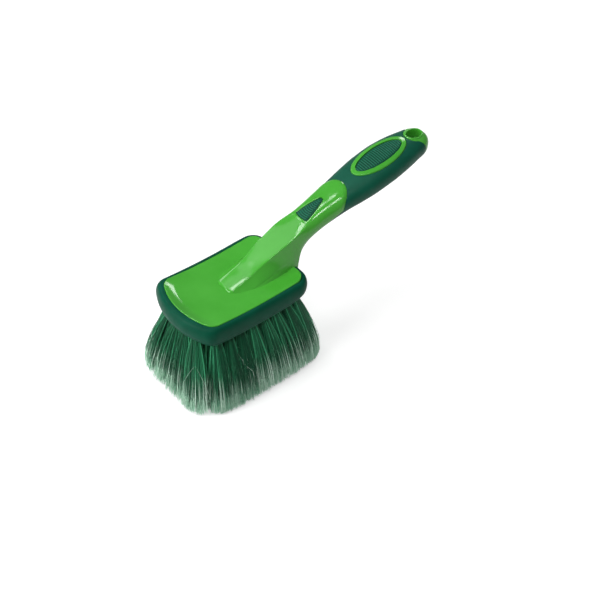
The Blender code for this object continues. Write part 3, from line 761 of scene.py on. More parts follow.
hole_cut = oval(hole_x, hole_length + lip_band, hole_width + lip_band, hole_turns)
combine(moulding, prism("hole", hole_cut, rim_height, skin_top), "DIFFERENCE")
combine(moulding, skin_grid("liner", liner_rows()), "UNION")
print("with the hole:", len(moulding.data.polygons), "faces")

# %% The pocket of the thumb pad, and the ridge in front of it
ridge_width, ridge_gap, ridge_length, ridge_proud, ridge_bow = 0.0016, 0.0006, 0.0150, 0.0010, 0.0005
ridge_end_power, ridge_end_share = 6, 0.02
ridge_shares = np.array([
    (-0.5, -0.8), (-0.5, -0.3), (-0.33, -0.1), (-0.16, 0.1), (0.02, 0.3), (0.19, 0.5),
    (0.30, 0.56), (0.38, 0.5), (0.45, 0.35), (0.5, 0.1), (0.5, -0.8),
])


def ridge_rows(steps=30):
    """A low ridge with a flat front face that throws the light to the eye as one line."""
    rows = []
    for share in np.linspace(-1, 1, steps + 1):
        y = ridge_length / 2 * share
        size = math.sqrt(max(1 - abs(share) ** ridge_end_power, ridge_end_share))
        x = thumb_x - thumb_bow - ridge_gap - ridge_width / 2 + ridge_bow * share * share
        across, high = (ridge_shares * (ridge_width, ridge_proud) * size).T
        rows.append(np.column_stack([x + across, np.full(len(across), y), skin_height(x, y) + high]))
    return np.array(rows)


pocket = prism("pocket", thumb_outline(clearance), thumb_floor, skin_top)
thumb_rows = handle_rows(-thumb_depth, handle_x(pocket_share), core_pitch / 2, core_turns)
combine(pocket, skin_grid("pocket_floor", thumb_rows, ring=False), "DIFFERENCE")
combine(moulding, pocket, "DIFFERENCE")
combine(moulding, skin_grid("ridge", ridge_rows(), ring=False), "UNION")
print("with the pocket and the ridge:", len(moulding.data.polygons), "faces")

# %% [markdown]
# ## Blind holes for the tufts
#
# The tufts stand in straight columns and rows, and the bowed nose has room for
# a short extra column. The same list of places will cut the holes here and
# plant the filament later, so the two can't drift apart. The head is drilled
# first, and only then joined to the neck.

# %% Places of the tufts, and their holes
tuft_columns, tuft_rows = 8, 6
tuft_front_margin, tuft_rear_margin, tuft_side_margin = 0.0070, 0.0096, 0.0075
tuft_radius, tuft_seat_depth, seat_wall = 0.0025, 0.0090, 0.0010
column_pitch = (head_length - tuft_front_margin - tuft_rear_margin) / (tuft_columns - 1)
row_pitch = (head_width - 2 * tuft_side_margin) / (tuft_rows - 1)


def nose_edge(y):
    return nose_bow_radius - nose_bow - math.sqrt(nose_bow_radius ** 2 - y ** 2)


def tuft_places():
    """Column, row and centre of each tuft."""
    places = []
    for column in range(-1, tuft_columns):
        x = tuft_front_margin + column_pitch * column
        for row in range(tuft_rows):
            y = row_pitch * (row - (tuft_rows - 1) / 2)
            if x - nose_edge(y) > tuft_radius + clearance + seat_wall:
                places.append((column, row, x, y))
    return places


def seats(places, sides=20):
    """All the blind holes as one set of upright cylinders."""
    width = 2 * tuft_radius + 2 * clearance
    points, faces = [], []
    for column, row, x, y in places:
        start = len(points)
        for z in (bristle_length - clearance, bristle_length + tuft_seat_depth):
            points += [(px, py + y, z) for px, py in oval(x, width, width, sides)]
        faces += walls(start, start + sides, sides)
        faces += [tuple(range(start, start + sides)), tuple(range(start + sides, start + 2 * sides))]
    return mesh_object("seats", points, faces)


places = tuft_places()
combine(head, seats(places), "DIFFERENCE")
combine(moulding, head, "UNION")
print(len(places), "tufts; moulding now", len(moulding.data.polygons), "faces")

# %% [markdown]
# ## Rubber: the sleeve and the rim
#
# The sleeve is the rest of the same pressed skin. The rim is a D-shaped bead
# carried round the head. Its section swells from the head's own edge out to a
# wider outline, so the loop blends two outlines instead of sweeping one fixed
# section. A fine groove low on its side is the line where the mould closed.

# %% The grip sleeve
sleeve = skin_grid("grip_sleeve_rubber", pressed[skin[:, 0, 0] > core_start], ring=False)
core_room = handle_rows(clearance - grip_thickness, core_start - 2 * overrun, core_pitch, core_turns)
combine(sleeve, skin_grid("core_room", core_room, ring=False), "DIFFERENCE")
combine(sleeve, plastic_zone(clearance), "DIFFERENCE")
window = oval(ring_x, ring_length + 2 * clearance, ring_width + 2 * clearance, ring_turns)
combine(sleeve, prism("window", window, ring_floor, skin_top), "DIFFERENCE")
print("sleeve:", len(sleeve.data.polygons), "faces")

# %% The rim bumper
bumper_steps, bumper_fullness, bumper_edge_turn = 48, 0.62, 1.57
groove_height, groove_depth, groove_width = 0.0046, 0.00022, 0.00035


def bumper_rows():
    inner = np.array(head_outline(side=clearance, nose=clearance, rear=clearance))
    outer = np.array(head_outline(
        side=bumper_side_overhang, nose=bumper_nose_overhang, rear=bumper_rear_overhang,
        nose_corner=bumper_nose_corner_radius, rear_corner=bumper_rear_corner_radius,
    ))
    rows = []
    for (x0, y0), (x1, y1) in zip(inner, outer):
        row = []
        rear = ease(x0, head_length - bumper_rear_reach, head_length)
        top = rim_height + dish(x0) - bumper_rear_drop * rear
        height = bumper_height - bumper_rear_lift * rear
        reach = math.hypot(x1 - x0, y1 - y0)
        for turn in np.linspace(-math.pi / 2, math.pi / 2, bumper_steps + 1):
            above = height / 2 * (1 + math.sin(turn))
            out = abs(math.cos(turn)) ** bumper_fullness if abs(turn) < bumper_edge_turn else 0.0
            out -= groove_depth / reach * math.exp(-((above - groove_height) / groove_width) ** 2) * (out > 0)
            row.append((x0 + (x1 - x0) * out, y0 + (y1 - y0) * out, top - height + above))
        rows.append(row)
    return np.array(rows)


bumper = skin_grid("rim_bumper_rubber", bumper_rows())
print("bumper:", len(bumper.data.polygons), "faces")

# %% [markdown]
# ## Adding nodes
#
# The rest needs node trees: Geometry Nodes for what repeats, shader nodes for
# the finishes. One small function adds any node to any tree. It sets the node's
# options, types values into its inputs and links those that come from another
# node, so a tree reads as a list of steps. `partial` ties it to one tree.

# %% One function that adds any node


def add_node(tree, kind, inputs=(), **settings):
    """Add a node, set its options, then give each input a value or link it.

    A link comes from a socket, or from the first socket in use of a node.
    """
    made = tree.nodes.new(kind)
    for name, value in settings.items():
        setattr(made, name, value)
    for key, value in dict(inputs).items():
        for item in value if isinstance(value, list) else [value]:
            if isinstance(item, bpy.types.Node):
                item = next(socket for socket in item.outputs if socket.enabled)
            if isinstance(item, bpy.types.NodeSocket):
                tree.links.new(item, made.inputs[key])
            else:
                made.inputs[key].default_value = item
    return made


def geometry_tree(name, sizes):
    """A tree with named inputs, given as (name, socket type, value), and the function that adds its nodes."""
    tree = bpy.data.node_groups.new(name, "GeometryNodeTree")
    tree.interface.new_socket("Geometry", in_out="INPUT", socket_type="NodeSocketGeometry")
    tree.interface.new_socket("Geometry", in_out="OUTPUT", socket_type="NodeSocketGeometry")
    for label, kind, value in sizes:
        socket = tree.interface.new_socket(label, in_out="INPUT", socket_type=kind)
        if value is not None:
            socket.default_value = value
    return tree, partial(add_node, tree), tree.nodes.new("NodeGroupInput").outputs


def finish_tree(tree, shape, material):
    """End a tree: shade smooth, turn instances into plain mesh, set the material."""
    shape = add_node(tree, "GeometryNodeSetShadeSmooth", {"Geometry": shape})
    shape = add_node(tree, "GeometryNodeRealizeInstances", {"Geometry": shape})
    shape = add_node(tree, "GeometryNodeSetMaterial", {"Geometry": shape, "Material": material})
    add_node(tree, "NodeGroupOutput", {"Geometry": shape})
    print(tree.name + ":", len(tree.nodes), "nodes")


def run_tree(obj, tree, **values):
    """Run a tree on an object and keep the plain mesh that comes out."""
    modifier = obj.modifiers.new(tree.name, "NODES")
    modifier.node_group = tree
    sockets = {item.name: item.identifier for item in tree.interface.items_tree if item.in_out == "INPUT"}
    for label, value in values.items():
        modifier[sockets[label.replace("_", " ")]] = value
    return apply_modifiers(obj)


def points_object(name, points, **attributes):
    """Loose points that carry values for a tree to read."""
    obj = plain_object(name, points)
    for label, values in attributes.items():
        values = np.asarray(values, np.float32)
        kind, field = ("FLOAT_VECTOR", "vector") if values.ndim == 2 else ("FLOAT", "value")
        obj.data.attributes.new(label, kind, "POINT").data.foreach_set(field, values.ravel())
    return obj


# %% [markdown]
# ## Ribbed rubber pads
#
# A thumb rests on a small pad in the neck, and the palm on an oval pad inside
# the ring. Both are thin cushions of rubber with fine ribs across. The cushion
# is the skin itself inside an outline. The ribs repeat, so they are nodes: one
# line per rib, stretched to the pad's width there, dropped onto the cushion by
# a ray, and given a round section. They follow the crown of the pad by
# themselves, which is hard to model by hand.

# %% A tree that lays ribs on a pad
ray_start, ray_length, rib_end_power, rib_end_height = 0.05, 0.1, 12.0, 1.03
float_kind, int_kind, object_kind, material_kind = (
    "NodeSocketFloat", "NodeSocketInt", "NodeSocketObject", "NodeSocketMaterial",
)
rib_tree, add, given = geometry_tree("Ribs on a pad", [
    ("Pad", object_kind, None), ("Rib Radius", float_kind, 0.00045), ("Bow", float_kind, 0.0),
    ("Rib Points", int_kind, 28), ("Rib Sides", int_kind, 10), ("Material", material_kind, None),
])
pad_shape = add("GeometryNodeObjectInfo", {"Object": given["Pad"]}, transform_space="ORIGINAL")
pad_shape = pad_shape.outputs["Geometry"]
rib_line = add("GeometryNodeCurvePrimitiveLine", {"Start": (0, -1, 0), "End": (0, 1, 0)})
rib_line = add("GeometryNodeResampleCurve", {"Curve": rib_line, "Count": given["Rib Points"]})
rib_spots = add("GeometryNodeMeshToPoints", {"Mesh": given["Geometry"]})
ribs = add("GeometryNodeInstanceOnPoints", {"Points": rib_spots, "Instance": rib_line})
ribs = add("GeometryNodeRealizeInstances", {"Geometry": ribs})
middle = add("GeometryNodeInputNamedAttribute", {"Name": "middle"}, data_type="FLOAT_VECTOR")
half_length = add("GeometryNodeInputNamedAttribute", {"Name": "half"}, data_type="FLOAT")
factor = add("GeometryNodeSplineParameter").outputs["Factor"]
side = add("ShaderNodeMath", {0: factor, 1: 2.0, 2: -1.0}, operation="MULTIPLY_ADD")
across = add("ShaderNodeMath", {0: side, 1: half_length}, operation="MULTIPLY")
square = add("ShaderNodeMath", {0: side, 1: side, 2: -1.0}, operation="MULTIPLY_ADD")
bowed = add("ShaderNodeMath", {0: square, 1: given["Bow"]}, operation="MULTIPLY")
offset = add("ShaderNodeCombineXYZ", {"X": bowed, "Y": across, "Z": ray_start})
above = add("ShaderNodeVectorMath", {0: middle, 1: offset}, operation="ADD")
dropped = add("GeometryNodeRaycast", {
    "Target Geometry": pad_shape, "Source Position": above,
    "Ray Direction": (0, 0, -1), "Ray Length": ray_length,
}).outputs["Hit Position"]
ribs = add("GeometryNodeSetPosition", {"Geometry": ribs, "Position": dropped})
ends = add("ShaderNodeMath", {0: side}, operation="ABSOLUTE")
ends = add("ShaderNodeMath", {0: ends, 1: rib_end_power}, operation="POWER")
ends = add("ShaderNodeMath", {0: rib_end_height, 1: ends}, operation="SUBTRACT")
ends = add("ShaderNodeMath", {0: ends}, operation="SQRT")
rib_size = add("ShaderNodeMath", {0: ends, 1: given["Rib Radius"]}, operation="MULTIPLY")
rib_round = add("GeometryNodeCurvePrimitiveCircle", {"Resolution": given["Rib Sides"], "Radius": 1.0})
ribs = add("GeometryNodeCurveToMesh", {
    "Curve": ribs, "Profile Curve": rib_round, "Scale": rib_size, "Fill Caps": True,
})
ribs = add("GeometryNodeStoreNamedAttribute", {
    "Geometry": ribs, "Name": "rib", "Value": 1.0,
}, data_type="FLOAT", domain="POINT")
whole = add("GeometryNodeJoinGeometry", {"Geometry": [ribs, pad_shape]})
finish_tree(rib_tree, whole, given["Material"])

# %% The two pads
pad_sunk, pad_edge, pad_edge_drop, pad_body = 0.00015, 0.0007, 0.00045, 0.0015
pad_edge_points, pad_rings, pad_hub_share, pad_turns, pad_fullness = 6, 26, 0.03, 120, 0.97
pad_ribs, thumb_ribs, thumb_first_gap, thumb_spare, rib_margin = 23, 11, 0.6, 0.4, 0.0010


def cushion(outline):
    """The skin over an outline, rolled down at its edge, with a wall and a floor."""
    outline = np.array(outline)
    middle = (outline.min(axis=0) + outline.max(axis=0)) / 2
    reach = np.hypot(*(outline - middle).T).min()
    shares = [1 - pad_edge / reach * (1 - math.cos(a)) for a in np.linspace(0, math.pi / 2, pad_edge_points)]
    shares += list(np.linspace(shares[-1], pad_hub_share, pad_rings)[1:])
    rows = []
    for number, share in enumerate(shares):
        loop = middle + (outline - middle) * share
        drop = pad_edge_drop * (1 - math.sqrt(1 - max(1 - (1 - share) * reach / pad_edge, 0) ** 2))
        heights = [skin_height(x, y) - pad_sunk - drop for x, y in loop]
        if number == 0:
            rows.append([(x, y, z - pad_body) for (x, y), z in zip(loop, heights)])
        rows.append([(x, y, z) for (x, y), z in zip(loop, heights)])
    return skin_grid("cushion", np.array(rows), ring=False)


def ribbed(name, outline, places, halves, **sizes):
    """A cushion over an outline, with ribs across it at places along the brush."""
    base = cushion(outline)
    spots = np.array([(x, 0.0, rim_height + handle_rise) for x in places])
    made = run_tree(points_object(name, spots, middle=spots, half=halves), rib_tree, Pad=base, **sizes)
    bpy.data.objects.remove(base, do_unlink=True)
    return made


pad_length, pad_width = (side - 2 * ring_band - 2 * clearance for side in (ring_length, ring_width))
shares = (np.arange(pad_ribs) + 0.5) / pad_ribs * 2 - 1
halves = (pad_width / 2) * np.sqrt(1 - (np.abs(shares) * pad_fullness) ** 2) - rib_margin
outline = oval(ring_x, pad_length, pad_width, pad_turns)
grip_pad = ribbed("grip_pad_rubber", outline, ring_x + shares * pad_length / 2, halves)
shares = (np.arange(thumb_ribs) + thumb_first_gap) / (thumb_ribs + thumb_spare)
halves = np.array([thumb_half_width(share) for share in shares]) - rib_margin
thumb_pad = ribbed(
    "thumb_pad_rubber", thumb_outline(0.0), thumb_x + shares * thumb_length, halves,
    Bow=thumb_bow, Rib_Radius=0.00050,
)
print("grip pad:", len(grip_pad.data.polygons), "faces; thumb pad:", len(thumb_pad.data.polygons))

# %% [markdown]
# ## Filament
#
# A washing brush has thousands of fine polyester filaments whose ends are split
# until they are as soft as feathers. Hair curves would do, but they have no
# mesh to hand on. So each filament is a point that carries where its tip is,
# and a node tree turns the points into thin three-sided tapering rods: cheap
# enough for many thousands.
#
# What makes a brush look real is how the filaments stray. They leave a round
# hole as a tight bundle, lean out with the whole brush, gather into small locks,
# wave a little, and end at uneven lengths in a paler fringe of split ends.

# %% A tree that turns points into filaments
whole_limit = 0.001
strand_tree, add, given = geometry_tree("Filaments", [
    ("Root Radius", float_kind, 0.00018), ("Tip Radius", float_kind, 0.00011), ("Bow", float_kind, 0.45),
    ("Strand Points", int_kind, 7), ("End Points", int_kind, 4), ("Sides", int_kind, 3),
    ("Material", material_kind, None),
])
root, reach, fan, wave = (
    add("GeometryNodeInputNamedAttribute", {"Name": name}, data_type="FLOAT_VECTOR")
    for name in ("root", "reach", "fan", "wave")
)
start, thick = (
    add("GeometryNodeInputNamedAttribute", {"Name": name}, data_type="FLOAT") for name in ("start", "thick")
)
spots = add("GeometryNodeMeshToPoints", {"Mesh": given["Geometry"]})
line = add("GeometryNodeCurvePrimitiveLine", {"Start": (0, 0, 0), "End": (0, 0, -1)})
lines = []
for label, test in (("Strand Points", "LESS_THAN"), ("End Points", "GREATER_THAN")):
    picked = add("ShaderNodeMath", {0: start, 1: whole_limit}, operation=test)
    cut = add("GeometryNodeResampleCurve", {"Curve": line, "Count": given[label]})
    lines.append(add("GeometryNodeInstanceOnPoints", {"Points": spots, "Selection": picked, "Instance": cut}))
strands = add("GeometryNodeJoinGeometry", {"Geometry": lines})
strands = add("GeometryNodeRealizeInstances", {"Geometry": strands})
t = add("GeometryNodeSplineParameter").outputs["Factor"]
left = add("ShaderNodeMath", {0: 1.0, 1: t}, operation="SUBTRACT")
lean = add("ShaderNodeMath", {0: left, 1: given["Bow"], 2: 1.0}, operation="MULTIPLY_ADD")
lean = add("ShaderNodeMath", {0: lean, 1: t}, operation="MULTIPLY")
shape = add("ShaderNodeCombineXYZ", {"X": lean, "Y": lean, "Z": t})
place = add("ShaderNodeVectorMath", {0: reach, 1: shape, 2: root}, operation="MULTIPLY_ADD")
open_up = add("ShaderNodeMath", {0: left, 1: 2.0}, operation="POWER")
open_up = add("ShaderNodeMath", {0: 1.0, 1: open_up}, operation="SUBTRACT")
open_up = add("ShaderNodeVectorMath", {0: fan, "Scale": open_up}, operation="SCALE")
swing = add("ShaderNodeMath", {0: t, 1: 2 * math.pi}, operation="MULTIPLY")
swing = add("ShaderNodeMath", {0: swing}, operation="SINE")
swing = add("ShaderNodeMath", {0: swing, 1: t}, operation="MULTIPLY")
swing = add("ShaderNodeVectorMath", {0: wave, "Scale": swing}, operation="SCALE")
for shift in (open_up, swing):
    place = add("ShaderNodeVectorMath", {0: place, 1: shift}, operation="ADD")
strands = add("GeometryNodeSetPosition", {"Geometry": strands, "Position": place})
along = add("ShaderNodeMapRange", {"Value": t, "To Min": start, "To Max": 1.0})
strands = add("GeometryNodeStoreNamedAttribute", {
    "Geometry": strands, "Name": "along", "Value": along,
}, data_type="FLOAT", domain="POINT")
size = add("ShaderNodeMapRange", {
    "Value": along, "To Min": given["Root Radius"], "To Max": given["Tip Radius"],
})
size = add("ShaderNodeMath", {0: size, 1: thick}, operation="MULTIPLY")
rod = add("GeometryNodeCurvePrimitiveCircle", {"Resolution": given["Sides"], "Radius": 1.0})
strands = add("GeometryNodeCurveToMesh", {
    "Curve": strands, "Profile Curve": rod, "Scale": size, "Fill Caps": True,
})
finish_tree(strand_tree, strands, given["Material"])

# %% Where each tuft's tips land
flare_nose, flare_nose_corner, flare_rear, flare_side = 0.0135, 0.0105, 0.0165, 0.0205
nose_bow_share, rear_bow_share = 0.50, 0.62
footprint_centre, footprint_length, footprint_width = (0.04275, -0.0009), 0.1435, 0.1070
footprint_power_near, footprint_power_far, footprint_soft, least_reach = 3.5, 3.3, 0.93, 1e-9
tuft_xs = [x for column, row, x, y in places]
middle_x = (min(tuft_xs) + max(tuft_xs)) / 2
widest_y = max(y for column, row, x, y in places)


def tip_place(x, y):
    """Where the middle of a tuft meets the floor: the bundle flares out."""
    row_places = [px for column, row, px, py in places if py == y]
    if x < middle_x:
        flare = flare_nose if min(row_places) == min(tuft_xs) else flare_nose_corner
        tip_x = x - flare * (middle_x - x) / (middle_x - min(row_places))
    else:
        tip_x = x + flare_rear * (x - middle_x) / (max(row_places) - middle_x)
    return tip_x, y + flare_side * y / widest_y


def in_footprint(spots):
    """Crowd places together near the edge of the round-cornered patch where the brush meets the floor."""
    halves = (footprint_length / 2, footprint_width / 2)
    scaled = (spots - footprint_centre) / halves
    power = np.where(spots[:, 1] < 0, footprint_power_near, footprint_power_far)
    out = np.maximum((np.abs(scaled) ** power[:, None]).sum(axis=1) ** (1 / power), least_reach)
    soft = 1 - footprint_soft
    kept = np.where(out > footprint_soft, footprint_soft + soft * np.tanh((out - footprint_soft) / soft), out)
    return footprint_centre + scaled * (kept / out)[:, None] * halves


tips = {(column, row): tip_place(x, y) for column, row, x, y in places}

# %% The filaments of one tuft
strands_per_tuft, locks_per_tuft, lock_pull = 300, 30, 0.42
root_spread, root_depth = 0.0021, 0.0030
outer_spread, overlap_share = 0.0085, 0.86
tuft_length_spread, lock_length_spread, strand_length_spread, tuft_dome = 0.0012, 0.0018, 0.0036, 0.0010
lift_near, lift_far, lift_change = 0.35, 0.95, 0.030
wave_size, disc_mean = 0.0007, 0.5
lock_hold, lock_tone_share, strand_tone_share = (0.3, 1.0), 0.4, 0.45
# The share of strands bundled into thicker sheaves that take the lightest tone as a painted highlight, and
# how much thicker they are.
highlit_sheaf_share, sheaf_thickness = 0.09, 1.9
floor_gap = 0.0002


def tip_spread(column, row):
    """How far a tuft's tips spread each way: into its neighbours, or less at the edge.

    Beside the short nose column, the neighbour is the corner tuft of the next column.
    """
    here = tips[column, row]
    spreads = []
    for step, axis in (((-1, 0), 0), ((1, 0), 0), ((0, -1), 1), ((0, 1), 1)):
        other = tips.get((column + step[0], row + step[1]))
        if other is None and step[1]:
            other = tips.get((column + 1, row + step[1]))
        spreads.append(abs(other[axis] - here[axis]) * overlap_share if other else outer_spread)
    return spreads


def disc(dice, count):
    """Random spots in a disc of radius one."""
    turn, radius = dice.uniform(0, 2 * math.pi, count), np.sqrt(dice.uniform(0, 1, count))
    return np.column_stack([radius * np.cos(turn), radius * np.sin(turn)])


def tuft_strands(place, dice):
    """Where one tuft's filaments start, lean, fan and wave, their tones and thicknesses.

    A few filaments cling together, thicker, and take the lightest tone as a painted highlight, so each such
    bundle shows as one light line.
    """
    column, row, x, y = place
    low_x, high_x, low_y, high_y = tip_spread(column, row)
    count = strands_per_tuft
    spot, locks = disc(dice, count), disc(dice, locks_per_tuft)
    nearest = np.argmin(((spot[:, None] - locks[None]) ** 2).sum(axis=2), axis=1)
    gathered = spot + (locks[nearest] - spot) * lock_pull * dice.uniform(*lock_hold, (count, 1))
    spread = np.where(gathered < 0, [low_x, low_y], [high_x, high_y])
    middle = np.array(tips[column, row])
    tip_xy = in_footprint(middle + gathered * spread)
    root_xy = np.array([x, y]) + spot * root_spread
    roots = np.column_stack([root_xy, np.full(count, bristle_length + root_depth)])
    lean = middle - (x, y)
    fans = np.column_stack([tip_xy - root_xy - lean, np.zeros(count)])
    flare = np.hypot(*(tip_xy - root_xy).T)
    lift = bristle_length - np.sqrt(np.maximum(bristle_length ** 2 - flare ** 2, 0))
    lift = lift * (lift_near + (lift_far - lift_near) * ease(tip_xy[:, 1], -lift_change, lift_change))
    short = tuft_length_spread * dice.uniform(0, 1) + strand_length_spread * dice.uniform(0, 1, count) ** 2
    short = short + lock_length_spread * (dice.uniform(0, 1, locks_per_tuft) ** 2)[nearest]
    short = short + tuft_dome * ((spot ** 2).sum(axis=1) - disc_mean)
    tip_z = np.maximum(lift + short, floor_gap)
    reach = np.column_stack([np.tile(lean, (count, 1)), tip_z - roots[:, 2]])
    waves = np.column_stack([dice.normal(0, wave_size, (count, 2)), np.zeros(count)])
    lock_tones = dice.uniform(0, 1, locks_per_tuft)
    tones = lock_tone_share * lock_tones[nearest] + strand_tone_share * dice.uniform(0, 1, count)
    # Painted highlight: a few strands become a thicker sheaf with the lightest tone, standing in for the
    # glint along a shiny bundle.
    sheaf_and_highlight = dice.uniform(0, 1, count) < highlit_sheaf_share
    return roots, reach, fans, waves, np.where(sheaf_and_highlight, 1.0, tones), np.where(sheaf_and_highlight, sheaf_thickness, 1.0)


def along_strands(roots, reach, fans, waves, t, bow):
    """The same curve as in the tree, for what starts part of the way down."""
    t = np.broadcast_to(t, len(roots))[:, None]
    lean = t * (1 + bow * (1 - t))
    shape = np.hstack([lean, lean, t])
    return roots + reach * shape + fans * (1 - (1 - t) ** 2) + waves * np.sin(2 * math.pi * t) * t


# %% [markdown]
# Each filament's end is split, so two fine hairs leave the last stretch
# of each one and part a little. A few stray hairs with a curl lie on the
# outside, as on any brush that has been handled.

# %% Split ends and stray hairs
ends_per_strand, end_start, end_spread, end_drop, end_thickness = 2, 0.80, 0.0018, 0.0014, 0.95
stray_hairs, stray_start, stray_reach, stray_curl, stray_thickness = 14, (0.25, 0.6), 0.019, 0.0027, 0.7
end_tones, end_wave, stray_zone, stray_outward = (-0.2, 0.3), wave_size / 3, 8, 0.2
stray_scatter, stray_drop, stray_columns = stray_reach / 2, (0.4, 1.4), (0, 3, 6)


def split_ends(roots, reach, fans, waves, tones, thicks, dice, bow):
    """Short fine hairs that part from the last stretch of each filament."""
    count = len(roots) * ends_per_strand
    begin, finish = (
        np.repeat(along_strands(roots, reach, fans, waves, t, bow), ends_per_strand, axis=0)
        for t in (end_start, 1.0)
    )
    finish = finish + dice.normal(0, end_spread, finish.shape) * (1, 1, 0)
    finish[:, :2] = in_footprint(finish[:, :2])
    finish[:, 2] = np.maximum(finish[:, 2] + end_drop * dice.uniform(-1, 1, count), floor_gap)
    curls = dice.normal(0, end_wave, finish.shape) * (1, 1, 0)
    tones = np.clip(np.repeat(tones, ends_per_strand) + dice.uniform(*end_tones, count), 0, 1)
    return begin, finish - begin, np.zeros(finish.shape), curls, tones, np.repeat(thicks, ends_per_strand)


def strays(roots, reach, fans, waves, dice, bow):
    """A few loose curled hairs that leave the outermost filaments."""
    middle = np.array([middle_x, 0.0])
    far = np.argsort(-np.hypot(*((roots[:, :2] + fans[:, :2] - middle) / (middle_x, widest_y)).T))
    picked = dice.choice(far[:len(far) // stray_zone], stray_hairs, replace=False)
    t = dice.uniform(*stray_start, stray_hairs)
    begin = along_strands(*(values[picked] for values in (roots, reach, fans, waves)), t, bow)
    outward = fans[picked] / np.linalg.norm(fans[picked], axis=1, keepdims=True)
    finish = begin + outward * stray_outward * stray_reach + dice.normal(0, stray_scatter, begin.shape)
    finish[:, :2] = in_footprint(finish[:, :2])
    drop = stray_reach * dice.uniform(*stray_drop, stray_hairs)
    finish[:, 2] = np.clip(begin[:, 2] - drop, floor_gap, None)
    curls = dice.normal(0, stray_curl, begin.shape)
    return begin, finish - begin, np.zeros(begin.shape), curls, np.ones(stray_hairs), np.ones(stray_hairs)


# %% Plant the tufts, one piece for each column
columns = sorted({place[0] for place in places})
seed, bristle_pieces = 20, []
for column in columns:
    dice = np.random.default_rng(seed + column)
    bow = nose_bow_share + (rear_bow_share - nose_bow_share) * (column + 1) / tuft_columns
    sets = [tuft_strands(place, dice) for place in places if place[0] == column]
    strand_set = [np.concatenate(values) for values in zip(*sets)]
    parts = [(strand_set, 0.0, 1.0), (split_ends(*strand_set, dice, bow), end_start, end_thickness)]
    if columns.index(column) in stray_columns:
        parts.append((strays(*strand_set[:4], dice, bow), end_start, stray_thickness))
    roots, reach, fans, waves, tones, thicks = (
        np.concatenate(values) for values in zip(*(part[0] for part in parts))
    )
    starts, scales = (np.concatenate([np.full(len(part[0][0]), part[k]) for part in parts]) for k in (1, 2))
    seeds = points_object(
        f"bristles_{column + 2}", roots, root=roots, reach=reach, fan=fans, wave=waves,
        tone=tones, start=starts, thick=thicks * scales,
    )
    bristle_pieces.append(run_tree(seeds, strand_tree, Bow=bow))
print("filament pieces:", [len(piece.data.polygons) for piece in bristle_pieces])

# %% [markdown]
# ## Finishes
#
# Three stuffs show, and each one's material says how it meets light. Colours
# are written as on a screen and turned to linear light once, by one function.
# Noise patterns are given by their real size in millimetres and scaled to the
# metres of Object coordinates. Each material's nodes are added in order, and
# its one shader comes last.

# %% Colour and pattern helpers
noise_low, noise_high, patch_detail, noise_roughness = 0.3, 0.7, 3.0, 0.5


def colour(code):
    """A screen colour such as 4EA53E as linear light."""
    parts = [int(code[place:place + 2], 16) / 255 for place in (0, 2, 4)]
    linear = [part / 12.92 if part <= 0.04045 else ((part + 0.055) / 1.055) ** 2.4 for part in parts]
    return (*linear, 1.0)


def empty_tree(holder):
    """Clear the nodes of a material or a world, and give the function that adds its nodes."""
    holder.use_nodes = True
    holder.node_tree.nodes.clear()
    return partial(add_node, holder.node_tree)


def patches(add, place, size_mm, low, high):
    """Soft patches about that many millimetres across, as numbers from low to high."""
    cloud = add("ShaderNodeTexNoise", {
        "Vector": place, "Scale": 1000 / size_mm, "Detail": patch_detail, "Roughness": noise_roughness,
    })
    return add("ShaderNodeMapRange", {
        "Value": cloud, "From Min": noise_low, "From Max": noise_high, "To Min": low, "To Max": high,
    })


def relief(add, place, *layers):
    """Bumps in layers, each given by its size in millimetres, its detail, its strength and its depth."""
    below = {}
    for size_mm, detail, strength, depth in layers:
        cloud = add("ShaderNodeTexNoise", {
            "Vector": place, "Scale": 1000 / size_mm, "Detail": detail, "Roughness": noise_roughness,
        })
        below["Normal"] = add("ShaderNodeBump", {
            "Strength": strength, "Distance": depth, "Height": cloud, **below,
        })
    return below["Normal"]


def surface(add, inputs):
    """End a material with one shader that takes all its values and links."""
    shader = add("ShaderNodeBsdfPrincipled", inputs)
    add("ShaderNodeOutputMaterial", {"Surface": shader})


# %% [markdown]
# Polypropylene is a slightly waxy, glossy plastic with its colour all through.
# Its skin copies a polished mould, so highlights are sharp but not mirror-like,
# and the wall sinks a little as it cools, which makes them waver. That waver is
# a shallow bump of broad noise. Finer noise in roughness stands for handling.

# %% Leaf green polypropylene
plastic = bpy.data.materials.new("leaf_green_polypropylene")
add = empty_tree(plastic)
place = add("ShaderNodeTexCoord").outputs["Object"]
tint = patches(add, place, 26, 0.0, 1.0)
base = add("ShaderNodeMix", {0: tint, 6: colour("3D9A2B"), 7: colour("45A233")}, data_type="RGBA")
surface(add, {
    "Base Color": base, "Roughness": patches(add, place, 5, 0.10, 0.15),
    "IOR": 1.49, "Specular IOR Level": 0.42,
    "Normal": relief(add, place, (20, 1.0, 0.5, 0.00016), (0.9, 2.0, 0.15, 0.00001)),
})
print("plastic:", len(plastic.node_tree.nodes), "nodes")

# %% [markdown]
# The soft rubber is a dark green thermoplastic elastomer. It is moulded against
# a finely blasted tool, so it scatters light into a wide satin sheen. A fine
# grain bump and patchy roughness give that. The lowest strip of the bumper faces
# the ground: it is made rougher, and painted greyer as a reflection of the floor.

# %% Dark green rubber
# Painted reflection: the heights, as shares of the bumper down from its top, over which its lowest strip is
# painted greyer.
painted_reflection_shares, band_roughness = (0.92, 0.76), 0.15
painted_reflection_low, painted_reflection_high = (rim_height - bumper_height * share for share in painted_reflection_shares)


